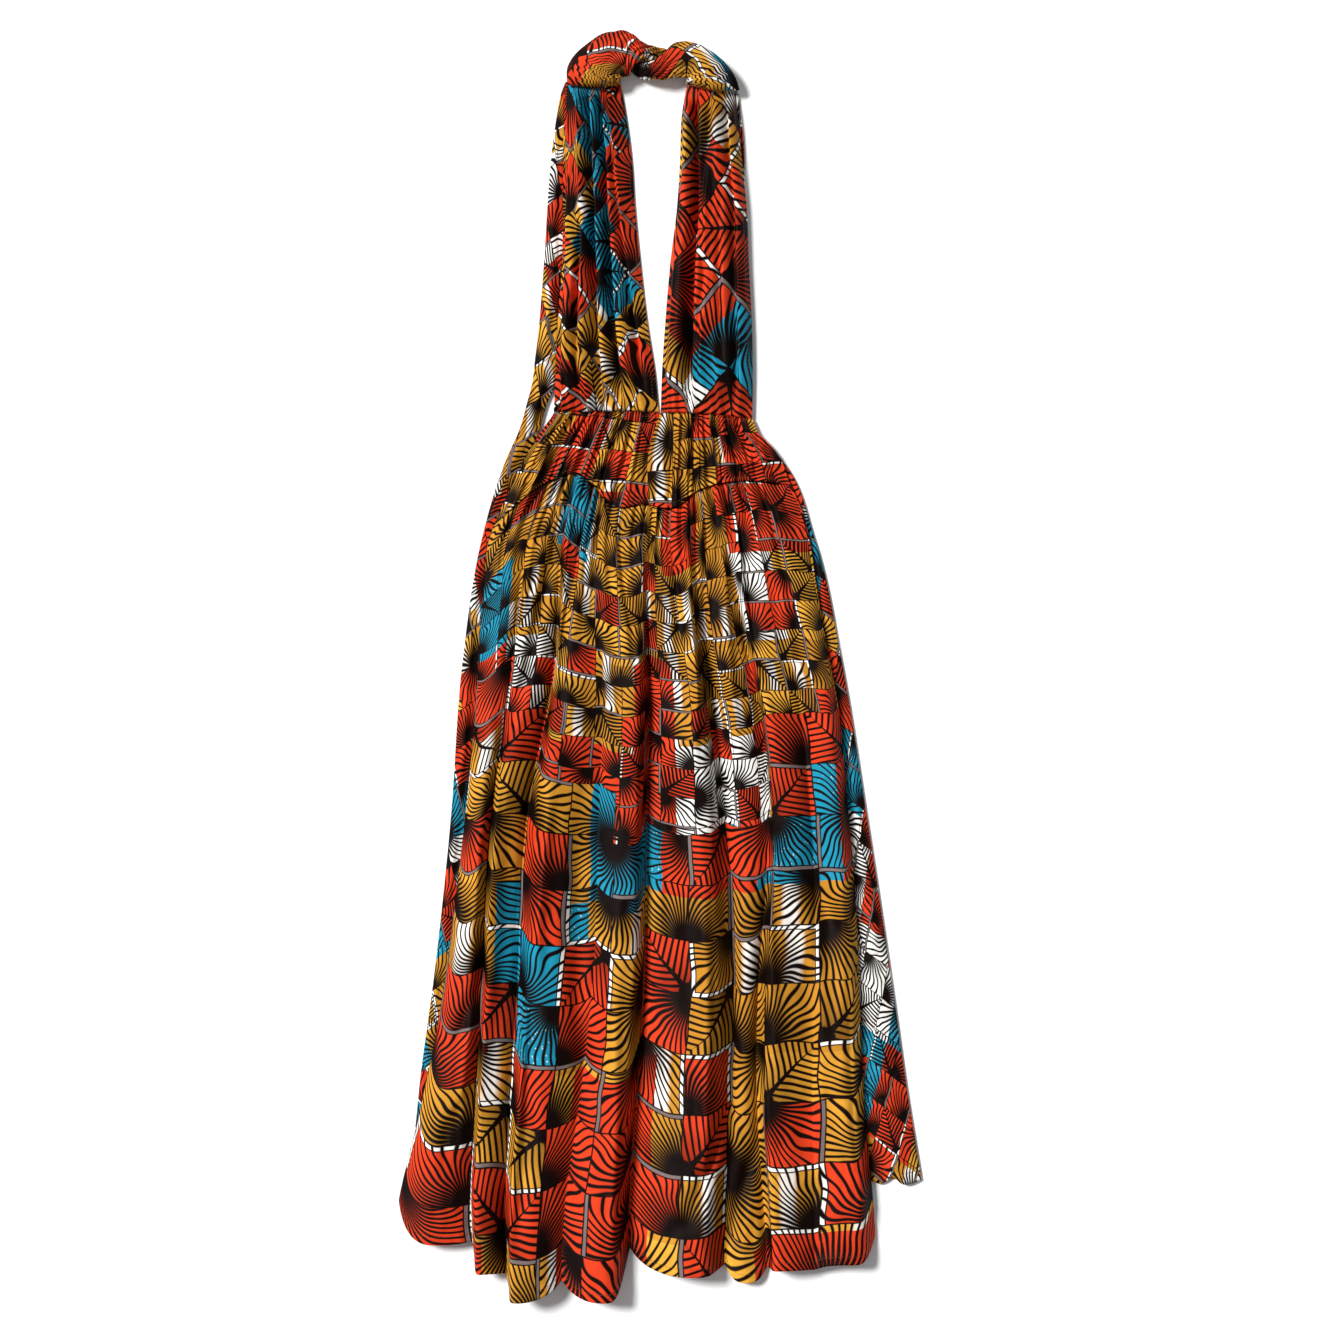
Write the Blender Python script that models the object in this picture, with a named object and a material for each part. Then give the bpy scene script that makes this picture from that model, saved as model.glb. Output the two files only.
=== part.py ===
"""A halter maxi dress of printed cotton, laid flat on its back with the neck towards +Y.

Every piece of cloth is a closed wall. The strap tails lie on the floor, the back of the band and of
the skirt lies over them, and the gathered front lies over the back. Metres, +Z up, x to the viewer's
right, and the origin under the middle of the dress.
"""

import math
from collections import namedtuple

import bpy
import numpy as np

CLOTH = 0.0016  # thickness of one wall of cloth
BACK_CLOTH = 0.0018
SEAM_GAP = 0.0003
TAIL_HEIGHT = 0.0046  # a strap end folded double
SEAM_LIFT = 0.0030  # how far a gathered seam stands over what it lies on
GATHER_COLUMNS = 4  # mesh columns to each small gather
GATHER_HEIGHT = 0.0042

# The edges of band and skirt, from the strap seam down to the hem.
Body = namedtuple("Body", "y left right")
BODY = (
    Body(0.305, -0.127, 0.1105),
    Body(0.281, -0.145, 0.1165),
    Body(0.268, -0.152, 0.130),
    Body(0.245, -0.165, 0.147),
    Body(0.218, -0.178, 0.157),
    Body(0.186, -0.193, 0.171),
    Body(0.150, -0.206, 0.180),
    Body(0.103, -0.211, 0.187),
    Body(0.031, -0.217, 0.199),
    Body(-0.041, -0.221, 0.213),
    Body(-0.161, -0.232, 0.225),
    Body(-0.281, -0.246, 0.235),
    Body(-0.401, -0.262, 0.240),
    Body(-0.545, -0.291, 0.247),
    Body(-0.641, -0.314, 0.256),
    Body(-0.700, -0.322, 0.260),
)

# The seam between band and skirt dips at the centre and runs down to the left side.
Waist = namedtuple("Waist", "x y")
WAIST = (
    Waist(-0.199, 0.169),
    Waist(-0.175, 0.192),
    Waist(-0.146, 0.215),
    Waist(-0.120, 0.228),
    Waist(-0.096, 0.231),
    Waist(-0.078, 0.214),
    Waist(-0.063, 0.197),
    Waist(-0.020, 0.194),
    Waist(0.026, 0.195),
    Waist(0.038, 0.206),
    Waist(0.062, 0.217),
    Waist(0.096, 0.222),
    Waist(0.157, 0.218),
)

# The seam between the straps and the band.
BUST_SEAM = (Waist(-0.130, 0.3053), Waist(0.000, 0.3053), Waist(0.083, 0.3000), Waist(0.115, 0.2960))

# One row for each fold of the front, left to right. The valley is the fold's right-hand foot, as a
# share of the width, at five heights. Heights are over the back panel. A lean over 0 tips the fold
# to the right. The hems are the y of the edge at the crest and at the valley.
FOLD_Y = (0.195, 0.031, -0.161, -0.401, -0.700)
Fold = namedtuple("Fold", "columns valley crest_mid crest_hem foot_mid foot_hem lean crest_y foot_y")
FOLDS = (
    Fold(9, (0.119, 0.101, 0.070, 0.095, 0.167), 0.014, 0.018, 0.005, 0.007, 0.2, -0.693, -0.690),
    Fold(7, (0.224, 0.220, 0.163, 0.178, 0.234), 0.020, 0.024, 0.001, 0.002, -0.35, -0.727, -0.730),
    Fold(10, (0.350, 0.353, 0.349, 0.358, 0.351), 0.029, 0.033, 0.013, 0.013, -0.5, -0.759, -0.735),
    Fold(10, (0.500, 0.486, 0.475, 0.483, 0.491), 0.025, 0.029, 0.000, 0.000, 0.3, -0.760, -0.699),
    Fold(12, (0.647, 0.640, 0.676, 0.700, 0.688), 0.027, 0.031, 0.002, 0.001, 0.5, -0.729, -0.719),
    Fold(6, (0.729, 0.766, 0.790, 0.755, 0.774), 0.016, 0.010, 0.006, 0.001, 0.0, -0.740, -0.722),
    Fold(8, (0.845, 0.882, 0.900, 0.890, 0.872), 0.024, 0.028, 0.011, 0.013, -0.5, -0.722, -0.723),
    Fold(8, (1.000, 1.000, 1.000, 1.000, 1.000), 0.018, 0.022, 0.000, 0.000, 0.3, -0.716, -0.684),
)
LEFT_HEM_Y = -0.642
SKIRT_BACK_ROWS = (
    0, 0.05, 0.12, 0.2, 0.28, 0.36, 0.44, 0.52, 0.6,
    0.68, 0.76, 0.83, 0.872, 0.9, 0.93, 0.963, 1,
)
YOKE_BACK_ROWS = (0, 0.25, 0.5, 0.75, 1)
BACK_TOP_Y = 0.281
BACK_INSET = 0.003  # how far the back's side edges lie in from the front's
SKIRT_ROWS = (
    0, 0.012, 0.03, 0.055, 0.09, 0.14, 0.2, 0.27, 0.34, 0.41,
    0.48, 0.55, 0.62, 0.69, 0.76, 0.83, 0.9, 0.96, 1,
)
FOLDS_FULL_AT = 0.34  # how far below the seam the large folds have grown to their full height
GATHERS_END_AT = 0.085  # how far below the seam the small gathers reach
HEM_CHANGE_FROM = 0.4  # the share of the length below which the heights turn into the hem's
SIDE_COLUMNS = 5  # the gathers die away over these columns at the side seams
BACK_HEM = (
    Waist(-0.306, -0.640),
    Waist(-0.285, -0.664),
    Waist(-0.22, -0.673),
    Waist(0.0, -0.676),
    Waist(0.26, -0.674),
)
CENTRE_COLUMN = sum(fold.columns for fold in FOLDS[:4])
LAST_COLUMN = sum(fold.columns for fold in FOLDS)

# The two straps: their edges, and the pleats across them as (share of width, height).
Strap = namedtuple("Strap", "y left right")
LEFT_STRAP = (
    Strap(0.7010, -0.113, -0.0475),
    Strap(0.665, -0.115, -0.041),
    Strap(0.607, -0.1165, -0.0335),
    Strap(0.553, -0.1165, -0.030),
    Strap(0.481, -0.118, -0.023),
    Strap(0.409, -0.1235, -0.0145),
    Strap(0.355, -0.1255, -0.006),
    Strap(0.3056, -0.1275, -0.0012),
)
RIGHT_STRAP = (
    Strap(0.6920, 0.031, 0.089),
    Strap(0.665, 0.0265, 0.093),
    Strap(0.607, 0.024, 0.0985),
    Strap(0.553, 0.0205, 0.104),
    Strap(0.481, 0.012, 0.107),
    Strap(0.409, 0.006, 0.1105),
    Strap(0.355, 0.0025, 0.1115),
    Strap(0.3056, 0.0008, 0.1105),
)
Pleat = namedtuple("Pleat", "share height")
LEFT_PLEATS = (
    Pleat(0.00, 0.000), Pleat(0.22, 0.012), Pleat(0.44, 0.002), Pleat(0.56, 0.010),
    Pleat(0.68, 0.002), Pleat(0.86, 0.012), Pleat(1.00, 0.000),
)
RIGHT_PLEATS = (
    Pleat(0.00, 0.000), Pleat(0.17, 0.010), Pleat(0.32, 0.001), Pleat(0.60, 0.014),
    Pleat(0.85, 0.007), Pleat(0.93, 0.009), Pleat(1.00, 0.000),
)
STRAP_COLUMNS = 16
STRAP_ROWS = (0, 0.020, 0.036, 0.055, 0.1, 0.18, 0.28, 0.38, 0.48, 0.58, 0.68, 0.77, 0.85, 0.91, 0.96, 1)
YOKE_ROWS = 8
LAP_LIFT, LAP_OVER_X, LAP_RUN = 0.0030, 0.003, 0.012
LAP_TOP_X = {-1: -0.0004, 1: 0.0010}  # the centre edges of the left and right half, at the strap seam
LAP_FOOT_X = {-1: -0.0004, 1: -0.0125}  # and at the waist seam
LAP_CUT = (Waist(-0.0125, 0.180), Waist(-0.0125, 0.262), Waist(-0.0060, 0.285), Waist(0.0010, 0.306))
LAP_COLUMNS = 4  # the halves narrow to their centre edges over these columns
HIDDEN_EDGE_RISE = 0.001  # the lapped edge of the left half ends this much above the waist seam
YOKE_TOP_Y = {-1: 0.3053, 1: 0.2965}  # the outer top corners of the two halves
YOKE_PUFF = 0.5  # how much fuller the gathers of the band stand at its middle
STRAP_TUCK, STRAP_TUCK_RUN = 0.008, 0.014  # how much of a strap's top goes under the neck twist
STRAP_TUCK_TOP = 0.0129  # the height of its middle there, right under the strand
STRAP_GATHER_FROM = 0.78  # the share of a strap's length where its pleats turn into the seam's gathers
STRAP_SEAM_FROM = 0.7  # and where its rows begin to follow the slope of the seam

# The folded strap ends: their outer edge and how wide they are.
Tail = namedtuple("Tail", "y outer width")
LEFT_TAIL = (
    Tail(0.7025, -0.119, 0.017),
    Tail(0.625, -0.1295, 0.026),
    Tail(0.481, -0.140, 0.031),
    Tail(0.403, -0.1464, 0.030),
    Tail(0.365, -0.151, 0.0285),
    Tail(0.340, -0.154, 0.0285),
    Tail(0.317, -0.160, 0.0245),
    Tail(0.288, -0.168, 0.024),
    Tail(0.247, -0.186, 0.031),
    Tail(0.151, -0.215, 0.036),
    Tail(0.007, -0.2375, 0.043),
    Tail(-0.185, -0.252, 0.048),
    Tail(-0.377, -0.2725, 0.048),
    Tail(-0.500, -0.289, 0.040),
    Tail(-0.555, -0.2945, 0.012),
)
RIGHT_TAIL = (
    Tail(0.694, 0.0935, 0.020),
    Tail(0.640, 0.100, 0.028),
    Tail(0.481, 0.100, 0.036),
    Tail(0.340, 0.104, 0.040),
    Tail(0.300, 0.110, 0.042),
    Tail(0.280, 0.117, 0.043),
    Tail(0.262, 0.1345, 0.045),
    Tail(0.247, 0.1475, 0.048),
    Tail(0.151, 0.187, 0.060),
    Tail(0.007, 0.2185, 0.070),
    Tail(-0.185, 0.2495, 0.074),
    Tail(-0.377, 0.2785, 0.079),
    Tail(-0.521, 0.299, 0.079),
    Tail(-0.622, 0.315, 0.070),
)
TAIL_ROWS = 22
TAIL_END_MARGIN, TAIL_END_RUN = 0.022, 0.030  # what lies over a tail drops to the floor past its end
# How far the right end's edge rises, from its fold inwards.
TAIL_END_WAVES = (0.004, 0.000, -0.001, 0.007, 0.000, -0.002, 0.006)
TAIL_END_FROM = 0.9
TAIL_TOP_COLUMNS = (0.25, 0.5, 0.75, 1.0)
TAIL_ROUND = 0.0022  # how much a tail's top stands up where it shows

# The neck twist, from the left strap over to the right one: the outer and inner edge of the band.
Neck = namedtuple("Neck", "outer_x outer_y inner_x inner_y")
NECK = (
    Neck(-0.1128, 0.6960, -0.0480, 0.6960),
    Neck(-0.1116, 0.7152, -0.0468, 0.7008),
    Neck(-0.1020, 0.7320, -0.0456, 0.7032),
    Neck(-0.0870, 0.7455, -0.0444, 0.7044),
    Neck(-0.0700, 0.7572, -0.0420, 0.7056),
    Neck(-0.0516, 0.7606, -0.0372, 0.7056),
    Neck(-0.0325, 0.7548, -0.0288, 0.7044),
    Neck(-0.0165, 0.7464, -0.0180, 0.7020),
    Neck(0.0000, 0.7450, -0.0048, 0.7020),
    Neck(0.0160, 0.7485, 0.0096, 0.7044),
    Neck(0.0330, 0.7485, 0.0240, 0.7044),
    Neck(0.0500, 0.7435, 0.0324, 0.7044),
    Neck(0.0660, 0.7355, 0.0348, 0.7008),
    Neck(0.0800, 0.7240, 0.0336, 0.6960),
    Neck(0.0905, 0.7075, 0.0324, 0.6900),
    Neck(0.0955, 0.6852, 0.0312, 0.6840),
)
TWIST_FROM, TWIST_TO = 4.6, 9.8  # the stations between which the strands change places
STRAND_PRESS = 0.93  # the strands are pressed flat against each other, this share of their sizes apart
STRAND_SHARE = 0.51  # of the band's half width, when they lie side by side
UPPER_HALF_HEIGHT, TWIST_HALF_HEIGHT, LOWER_HALF_HEIGHT = 0.0100, 0.0130, 0.0056
STRAND_STEP, TWIST_STEP = 0.65, 0.20  # stations from one ring of points to the next, and in the twist
TWIST_GAP = 0.0004  # more room between the strands where they turn
STRAND_SIDES = 20
STRAND_PLEATS = 5
STRAND_PLEAT_DEPTH = 0.05

OCHRE = (0.58, 0.24, 0.02, 1.0)
ORANGE_RED = (0.76, 0.05, 0.01, 1.0)
TEAL = (0.01, 0.29, 0.44, 1.0)


def smooth(u):
    """A step from 0 to 1 with level ends."""
    return 0.5 - 0.5 * np.cos(np.pi * np.clip(u, 0, 1))


def swell(u):
    """A step from 0 at a fold's foot to 1 at its crest, with a narrow foot and a full crest."""
    return np.sin(0.5 * np.pi * np.clip(u, 0, 1) ** 0.75) ** 2


def along(stations, values, at):
    """A smooth curve through the values at the stations, held level past its ends."""
    order = np.argsort(stations)
    stations = np.asarray(stations, float)[order]
    values = np.asarray(values, float)[order]
    slopes = np.gradient(values, stations)
    first = np.clip(np.searchsorted(stations, at) - 1, 0, len(stations) - 2)
    run = stations[first + 1] - stations[first]
    u = np.clip((at - stations[first]) / run, 0, 1)
    return (
        values[first] * (1 + 2 * u) * (1 - u) ** 2
        + slopes[first] * run * u * (1 - u) ** 2
        + values[first + 1] * u * u * (3 - 2 * u)
        - slopes[first + 1] * run * u * u * (1 - u)
    )


def column_of(rows, stations, values, at):
    """The value column of a table, read as a smooth curve over its station column."""
    return along([getattr(row, stations) for row in rows], [getattr(row, values) for row in rows], at)


def body_left(y):
    return column_of(BODY, "y", "left", y)


def body_right(y):
    return column_of(BODY, "y", "right", y)


def waist_y(x):
    return column_of(WAIST, "x", "y", x)


def bust_y(x):
    return column_of(BUST_SEAM, "x", "y", x)


def over_tails(x, y, margin=0.003, run=0.010):
    """How far the strap ends lift what lies on them: level past their inner edges, then down to 0."""
    lift = 0
    for tail, side in ((LEFT_TAIL, 1), (RIGHT_TAIL, -1)):
        inner = column_of(tail, "y", "outer", y) + side * column_of(tail, "y", "width", y)
        beyond = side * (x - inner) - margin
        past_end = tail[-1].y - y - TAIL_END_MARGIN
        lift = np.maximum(lift, (1 - smooth(beyond / run)) * (1 - smooth(past_end / TAIL_END_RUN)))
    return lift * (TAIL_HEIGHT + SEAM_GAP)


def under_front(x, y):
    """The top of what the front lies on: the strap ends, and the back from its top edge down."""
    back = smooth((BACK_TOP_Y + 0.014 - y) / 0.012)
    return over_tails(x, y, margin=0.009, run=0.016) + back * (BACK_CLOTH + SEAM_GAP)


def uneven(number):
    """A share between about 0.6 and 1 that differs from one gather to the next."""
    return 0.8 + 0.2 * np.sin(2.3 * number + 0.7)


def gathers(column):
    """The small gathers of a sewn seam, by mesh column."""
    turn = column / GATHER_COLUMNS
    return uneven(np.floor(turn)) * (0.5 - 0.5 * np.cos(2 * np.pi * turn))


def fold_feet(field, first):
    """A column of the fold table at each foot, beginning with the left side of the skirt."""
    return [first] + [getattr(fold, field) for fold in FOLDS]


def fold_position(column):
    """For each column: its fold's number, and its place from 0 at the left foot to 1 at the right."""
    ends = np.cumsum([0] + [fold.columns for fold in FOLDS])
    number = np.clip(np.searchsorted(ends, column, side="right") - 1, 0, len(FOLDS) - 1)
    return number, (column - ends[number]) / (ends[number + 1] - ends[number])


def hem_lobe(u):
    """A step from 0 at a lobe's corner to 1, fast and then level, as a hem has."""
    return 1 - (1 - np.clip(u, 0, 1)) ** 3


def between_feet(column, feet, crests, rise=swell):
    """A value that is feet[n] at each foot and crests[n] at each crest."""
    number, place = fold_position(column)
    feet, crests = np.asarray(feet), np.asarray(crests)
    foot = np.where(place < 0.5, feet[number], feet[number + 1])
    return foot + (crests[number] - foot) * rise(1 - np.abs(2 * place - 1))


def width_share(column, y):
    """Where a column stands across the skirt at the height y, as a share of its width."""
    number, place = fold_position(column)
    valleys = [(0,) * len(FOLD_Y)] + [fold.valley for fold in FOLDS]
    feet = np.array([along(FOLD_Y, valley, y) for valley in valleys])
    left = np.take_along_axis(feet, number[None], 0)[0]
    right = np.take_along_axis(feet, number[None] + 1, 0)[0]
    return left + place * (right - left)


def across_body(share, y):
    return body_left(y) + share * (body_right(y) - body_left(y))


def waist_column(column):
    """The point of the waist seam at each column, as x and y."""
    share = width_share(column, np.full(column.shape, FOLD_Y[0]))
    y = np.full(column.shape, 0.2)
    for _ in range(12):
        y = waist_y(across_body(share, y))
    return across_body(share, y), y


def grid_of(columns, rows):
    """Two arrays that hold the column and the row of every point of a wall."""
    return np.meshgrid(np.asarray(columns, float), np.asarray(rows, float))


def skirt_front_surface(column, down):
    """The outer face of the front of the skirt."""
    _, top = waist_column(column)
    hem = between_feet(column, fold_feet("foot_y", LEFT_HEM_Y), [fold.crest_y for fold in FOLDS], hem_lobe)
    y = top - SEAM_GAP / 2 + down * (hem - top)
    x = across_body(width_share(column, y), y)
    middle = between_feet(column, fold_feet("foot_mid", 0), [fold.crest_mid for fold in FOLDS])
    low = between_feet(column, fold_feet("foot_hem", 0), [fold.crest_hem for fold in FOLDS])
    folds = middle + (low - middle) * smooth((down - HEM_CHANGE_FROM) / (1 - HEM_CHANGE_FROM))
    grown = smooth((top - y) / FOLDS_FULL_AT)
    gathered = np.exp(-(((top - y) / GATHERS_END_AT) ** 2))
    edge = smooth(np.minimum(column, LAST_COLUMN - column) / SIDE_COLUMNS)
    relief = folds * grown + edge * (SEAM_LIFT * (1 - grown) + GATHER_HEIGHT * gathers(column) * gathered)
    lean = between_feet(column, [0] * (len(FOLDS) + 1), [fold.lean for fold in FOLDS])
    z = under_front(x, y) + SEAM_GAP + CLOTH + relief
    return np.stack([x + lean * folds * grown, y, z], -1)


def yoke_surface(column, down, side):
    """The x, y and relief of half of the band, gathered between the strap seam and the waist seam.

    The left half runs on under the right one, whose top is cut away at the centre to show it.
    """
    last = 0 if side < 0 else LAST_COLUMN
    share = np.abs((column - CENTRE_COLUMN) / (last - CENTRE_COLUMN))
    near_centre = 1 - smooth(np.abs(column - CENTRE_COLUMN) / LAP_COLUMNS)
    body_side = body_left if side < 0 else body_right
    top_corner = body_side(YOKE_TOP_Y[side])
    top_x = LAP_TOP_X[side] + share * (top_corner - LAP_TOP_X[side])
    bottom_x = waist_column(column)[0]
    bottom_x = bottom_x + near_centre * (LAP_FOOT_X[side] - bottom_x)
    hidden_edge = HIDDEN_EDGE_RISE * near_centre if side < 0 else 0
    top_y, bottom_y = bust_y(top_x), waist_y(bottom_x) + SEAM_GAP / 2 + hidden_edge
    y = top_y + down * (bottom_y - top_y)
    corner_x, corner_y = waist_column(np.full(column.shape, float(last)))
    side_y = bust_y(top_corner) + down * (corner_y - bust_y(top_corner))
    bulge = (body_side(side_y) - top_corner) - down * (corner_x - top_corner)
    x = top_x + down * (bottom_x - top_x) + share**3 * np.sin(np.pi * np.clip(down, 0, 1)) ** 0.5 * bulge
    if side > 0:
        centre_line = LAP_TOP_X[side] + down * (LAP_FOOT_X[side] - LAP_TOP_X[side])
        x = x + near_centre * (column_of(LAP_CUT, "y", "x", y) - centre_line)
    at_side = smooth((1 - share) * 7)
    from_lap = smooth((np.abs(column - CENTRE_COLUMN) - 3) / 3)
    puff = 1 + YOKE_PUFF * np.sin(np.pi * down)
    relief = SEAM_LIFT + GATHER_HEIGHT * gathers(column) * from_lap * puff
    return x, y, at_side * relief


def wall(name, outer, thickness, colour, straight_down=False, sewn_rows=()):
    """A closed wall of cloth: the outer points, and the same points moved in by its thickness.

    A sewn row is cut straight down, so that it stands face to face with its neighbour's.
    """
    rows, columns = outer.shape[:2]
    if straight_down:
        inner = outer - np.array([0, 0, thickness])
    else:
        across = np.gradient(outer, axis=1)
        down = np.gradient(outer, axis=0)
        normal = np.cross(down, across)
        inner = outer - thickness * normal / np.linalg.norm(normal, axis=-1, keepdims=True)
        for row in sewn_rows:
            inner[row] = outer[row] - np.array([0, 0, thickness])
    points = np.concatenate([outer.reshape(-1, 3), inner.reshape(-1, 3)])
    number = np.arange(rows * columns).reshape(rows, columns)
    corners = (number[:-1, :-1], number[1:, :-1], number[1:, 1:], number[:-1, 1:])
    a, b, c, d = (corner.ravel() for corner in corners)
    face = np.concatenate([np.stack([a, b, c], 1), np.stack([a, c, d], 1)])
    rim = np.concatenate([number[0, :-1], number[:-1, -1], number[-1, :0:-1], number[:0:-1, 0]])
    onward = np.roll(rim, -1)
    offset = rows * columns
    rim_faces = np.concatenate(
        [np.stack([rim, onward, onward + offset], 1), np.stack([rim, onward + offset, rim + offset], 1)]
    )
    faces = np.concatenate([face, face[:, ::-1] + offset, rim_faces])
    return add_piece(name, points, faces, colour)


def add_piece(name, points, faces, colour):
    """A mesh object with a plain printed-cotton material."""
    mesh = bpy.data.meshes.new(name)
    mesh.from_pydata(points.tolist(), [], faces.tolist())
    mesh.validate()
    mesh.shade_smooth()
    material = bpy.data.materials.new(name + "_cotton")
    material.use_nodes = True
    shader = material.node_tree.nodes["Principled BSDF"]
    shader.inputs["Base Color"].default_value = colour
    shader.inputs["Roughness"].default_value = 0.7
    shader.inputs["Metallic"].default_value = 0.0
    mesh.materials.append(material)
    piece = bpy.data.objects.new(name, mesh)
    bpy.context.scene.collection.objects.link(piece)
    return piece


def build_skirt_front():
    columns, rows = grid_of(range(LAST_COLUMN + 1), SKIRT_ROWS)
    wall("skirt_front", skirt_front_surface(columns, rows), CLOTH, OCHRE, sewn_rows=(0,))


def build_yoke_front():
    """Two gathered halves. The right one is lifted over the left one's centre edge."""
    for name, side, colour in (("yoke_front_left", -1, ORANGE_RED), ("yoke_front_right", 1, ORANGE_RED)):
        first, last = (0, CENTRE_COLUMN) if side < 0 else (CENTRE_COLUMN, LAST_COLUMN)
        columns, rows = grid_of(range(first, last + 1), np.linspace(0, 1, YOKE_ROWS))
        x, y, relief = yoke_surface(columns, rows, side)
        lap = (LAP_LIFT * (1 - smooth((x - LAP_OVER_X) / LAP_RUN))) if side > 0 else 0
        z = under_front(x, y) + SEAM_GAP + CLOTH + relief + lap
        wall(name, np.stack([x, y, z], -1), CLOTH, colour, sewn_rows=(0, -1))


def back_columns(y):
    """The x of each column of the back: its edges, the steps by the tails' inner edges, an even middle."""
    left, right = body_left(y) + BACK_INSET, body_right(y) - BACK_INSET
    tail_in = column_of(LEFT_TAIL, "y", "outer", y) + column_of(LEFT_TAIL, "y", "width", y)
    tail_out = column_of(RIGHT_TAIL, "y", "outer", y) - column_of(RIGHT_TAIL, "y", "width", y)
    left_step, right_step = np.maximum(tail_in, left) + 0.004, np.minimum(tail_out, right) - 0.004
    start, end = left_step + 0.011, right_step - 0.011
    left_steps = [left, 0.5 * (left + left_step), left_step, left_step + 0.005]
    middle = [start + (end - start) * share for share in np.linspace(0, 1, 8)]
    right_steps = [right_step - 0.005, right_step, 0.5 * (right + right_step), right]
    return left_steps + middle + right_steps


def build_back(name, top, bottom, rows, colour):
    """A flat panel of the back between two curves of y over x."""
    down = np.array(rows)
    y = np.repeat((top(0.0) + down * (bottom(0.0) - top(0.0)))[:, None], len(back_columns(0.0)), 1)
    for _ in range(12):
        x = np.stack([column[:, number] for number, column in enumerate(back_columns(y))], -1)
        y = top(x) + down[:, None] * (bottom(x) - top(x))
    z = over_tails(x, y, margin=0.004, run=0.011) + BACK_CLOTH
    wall(name, np.stack([x, y, z], -1), BACK_CLOTH, colour, straight_down=True)


def build_backs():
    build_back(
        "skirt_back",
        lambda x: waist_y(x) - SEAM_GAP / 2,
        lambda x: column_of(BACK_HEM, "x", "y", x),
        SKIRT_BACK_ROWS,
        OCHRE,
    )
    build_back(
        "yoke_back",
        lambda x: BACK_TOP_Y + 0 * x,
        lambda x: waist_y(x) + SEAM_GAP / 2,
        YOKE_BACK_ROWS,
        ORANGE_RED,
    )


def build_strap(name, edges, pleats, seam, colour):
    """A strap from the neck down to the band, pleated at the top and gathered at the seam."""
    share, down = grid_of(np.linspace(0, 1, STRAP_COLUMNS + 1), STRAP_ROWS)
    y = edges[0].y + down * (edges[-1].y - edges[0].y)
    left, right = column_of(edges, "y", "left", y), column_of(edges, "y", "right", y)
    x = left + share * (right - left)
    y = y + smooth((down - STRAP_SEAM_FROM) / (1 - STRAP_SEAM_FROM)) * (seam(x) + SEAM_GAP - edges[-1].y)
    stations = [pleat.share for pleat in pleats]
    heights = [pleat.height for pleat in pleats]
    relief = along(stations, heights, share)
    edge = smooth(np.minimum(share, 1 - share) * 8)
    seam_share = smooth((down - STRAP_GATHER_FROM) / (1 - STRAP_GATHER_FROM))
    crumple = edge * (SEAM_LIFT + GATHER_HEIGHT * gathers(share * STRAP_COLUMNS))
    relief = relief + seam_share * (crumple - relief)
    tucked = smooth((STRAP_TUCK + STRAP_TUCK_RUN - (edges[0].y - y)) / STRAP_TUCK_RUN)
    lies_on = over_tails(x, y, margin=0.006, run=0.014) + CLOTH + SEAM_GAP
    under_strand = (STRAP_TUCK_TOP - lies_on) * np.sin(np.pi * share)
    z = lies_on + relief + tucked * (under_strand - relief)
    wall(name, np.stack([x, y, z], -1), CLOTH, colour, sewn_rows=(-1,))


def build_tail(name, edges, strap, side, colour):
    """A strap end folded double along its outer edge, one layer on the floor and one on top."""
    half = TAIL_HEIGHT / 2
    bends = np.linspace(-0.5 * np.pi, -1.5 * np.pi, 5)
    down = np.linspace(0, 1, TAIL_ROWS)
    y = edges[0].y + down * (edges[-1].y - edges[0].y)
    outer, width = column_of(edges, "y", "outer", y), column_of(edges, "y", "width", y)
    strap_edge = column_of(strap, "y", "left" if side < 0 else "right", y)
    cover = np.where(y > 0.3, strap_edge, body_left(y) if side < 0 else body_right(y))
    shown = np.clip(np.minimum(side * (outer - cover), width) - 0.004, 0.006, 0.050)
    section = [np.stack([width, 0 * y], -1)]
    for bend in bends:
        section.append(np.stack([half + half * np.cos(bend) + 0 * y, half + half * np.sin(bend) + 0 * y], -1))
    for share in TAIL_TOP_COLUMNS:
        inward = half + share * (shown - half)
        rise = np.minimum(TAIL_ROUND, 0.15 * (shown - 0.005)) * math.sin(math.pi * share) ** 2
        section.append(np.stack([np.minimum(inward, width - 0.002), TAIL_HEIGHT + rise], -1))
    section.append(np.stack([np.maximum(width, shown + 0.001), TAIL_HEIGHT + 0 * y], -1))
    section = np.stack(section, 1)
    y = np.repeat(y[:, None], section.shape[1], 1)
    if side > 0:
        inward = section[..., 0] / section[:, -1:, 0]
        rise = along(np.linspace(0, 1, len(TAIL_END_WAVES)), TAIL_END_WAVES, inward)
        y = y + rise * smooth((down[:, None] - TAIL_END_FROM) / (1 - TAIL_END_FROM))
    x = outer[:, None] - side * section[..., 0]
    points = np.stack([x, y, section[..., 1]], -1)
    if side > 0:
        points = points[:, ::-1]
    wall(name, points, CLOTH, colour)


def neck_station(at):
    """The outer and the inner edge of the neck band at a station, as points over the floor."""
    stations = np.arange(len(NECK))
    outer = [float(along(stations, [getattr(row, f) for row in NECK], at)) for f in ("outer_x", "outer_y")]
    inner = [float(along(stations, [getattr(row, f) for row in NECK], at)) for f in ("inner_x", "inner_y")]
    return np.array(outer), np.array(inner)


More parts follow.
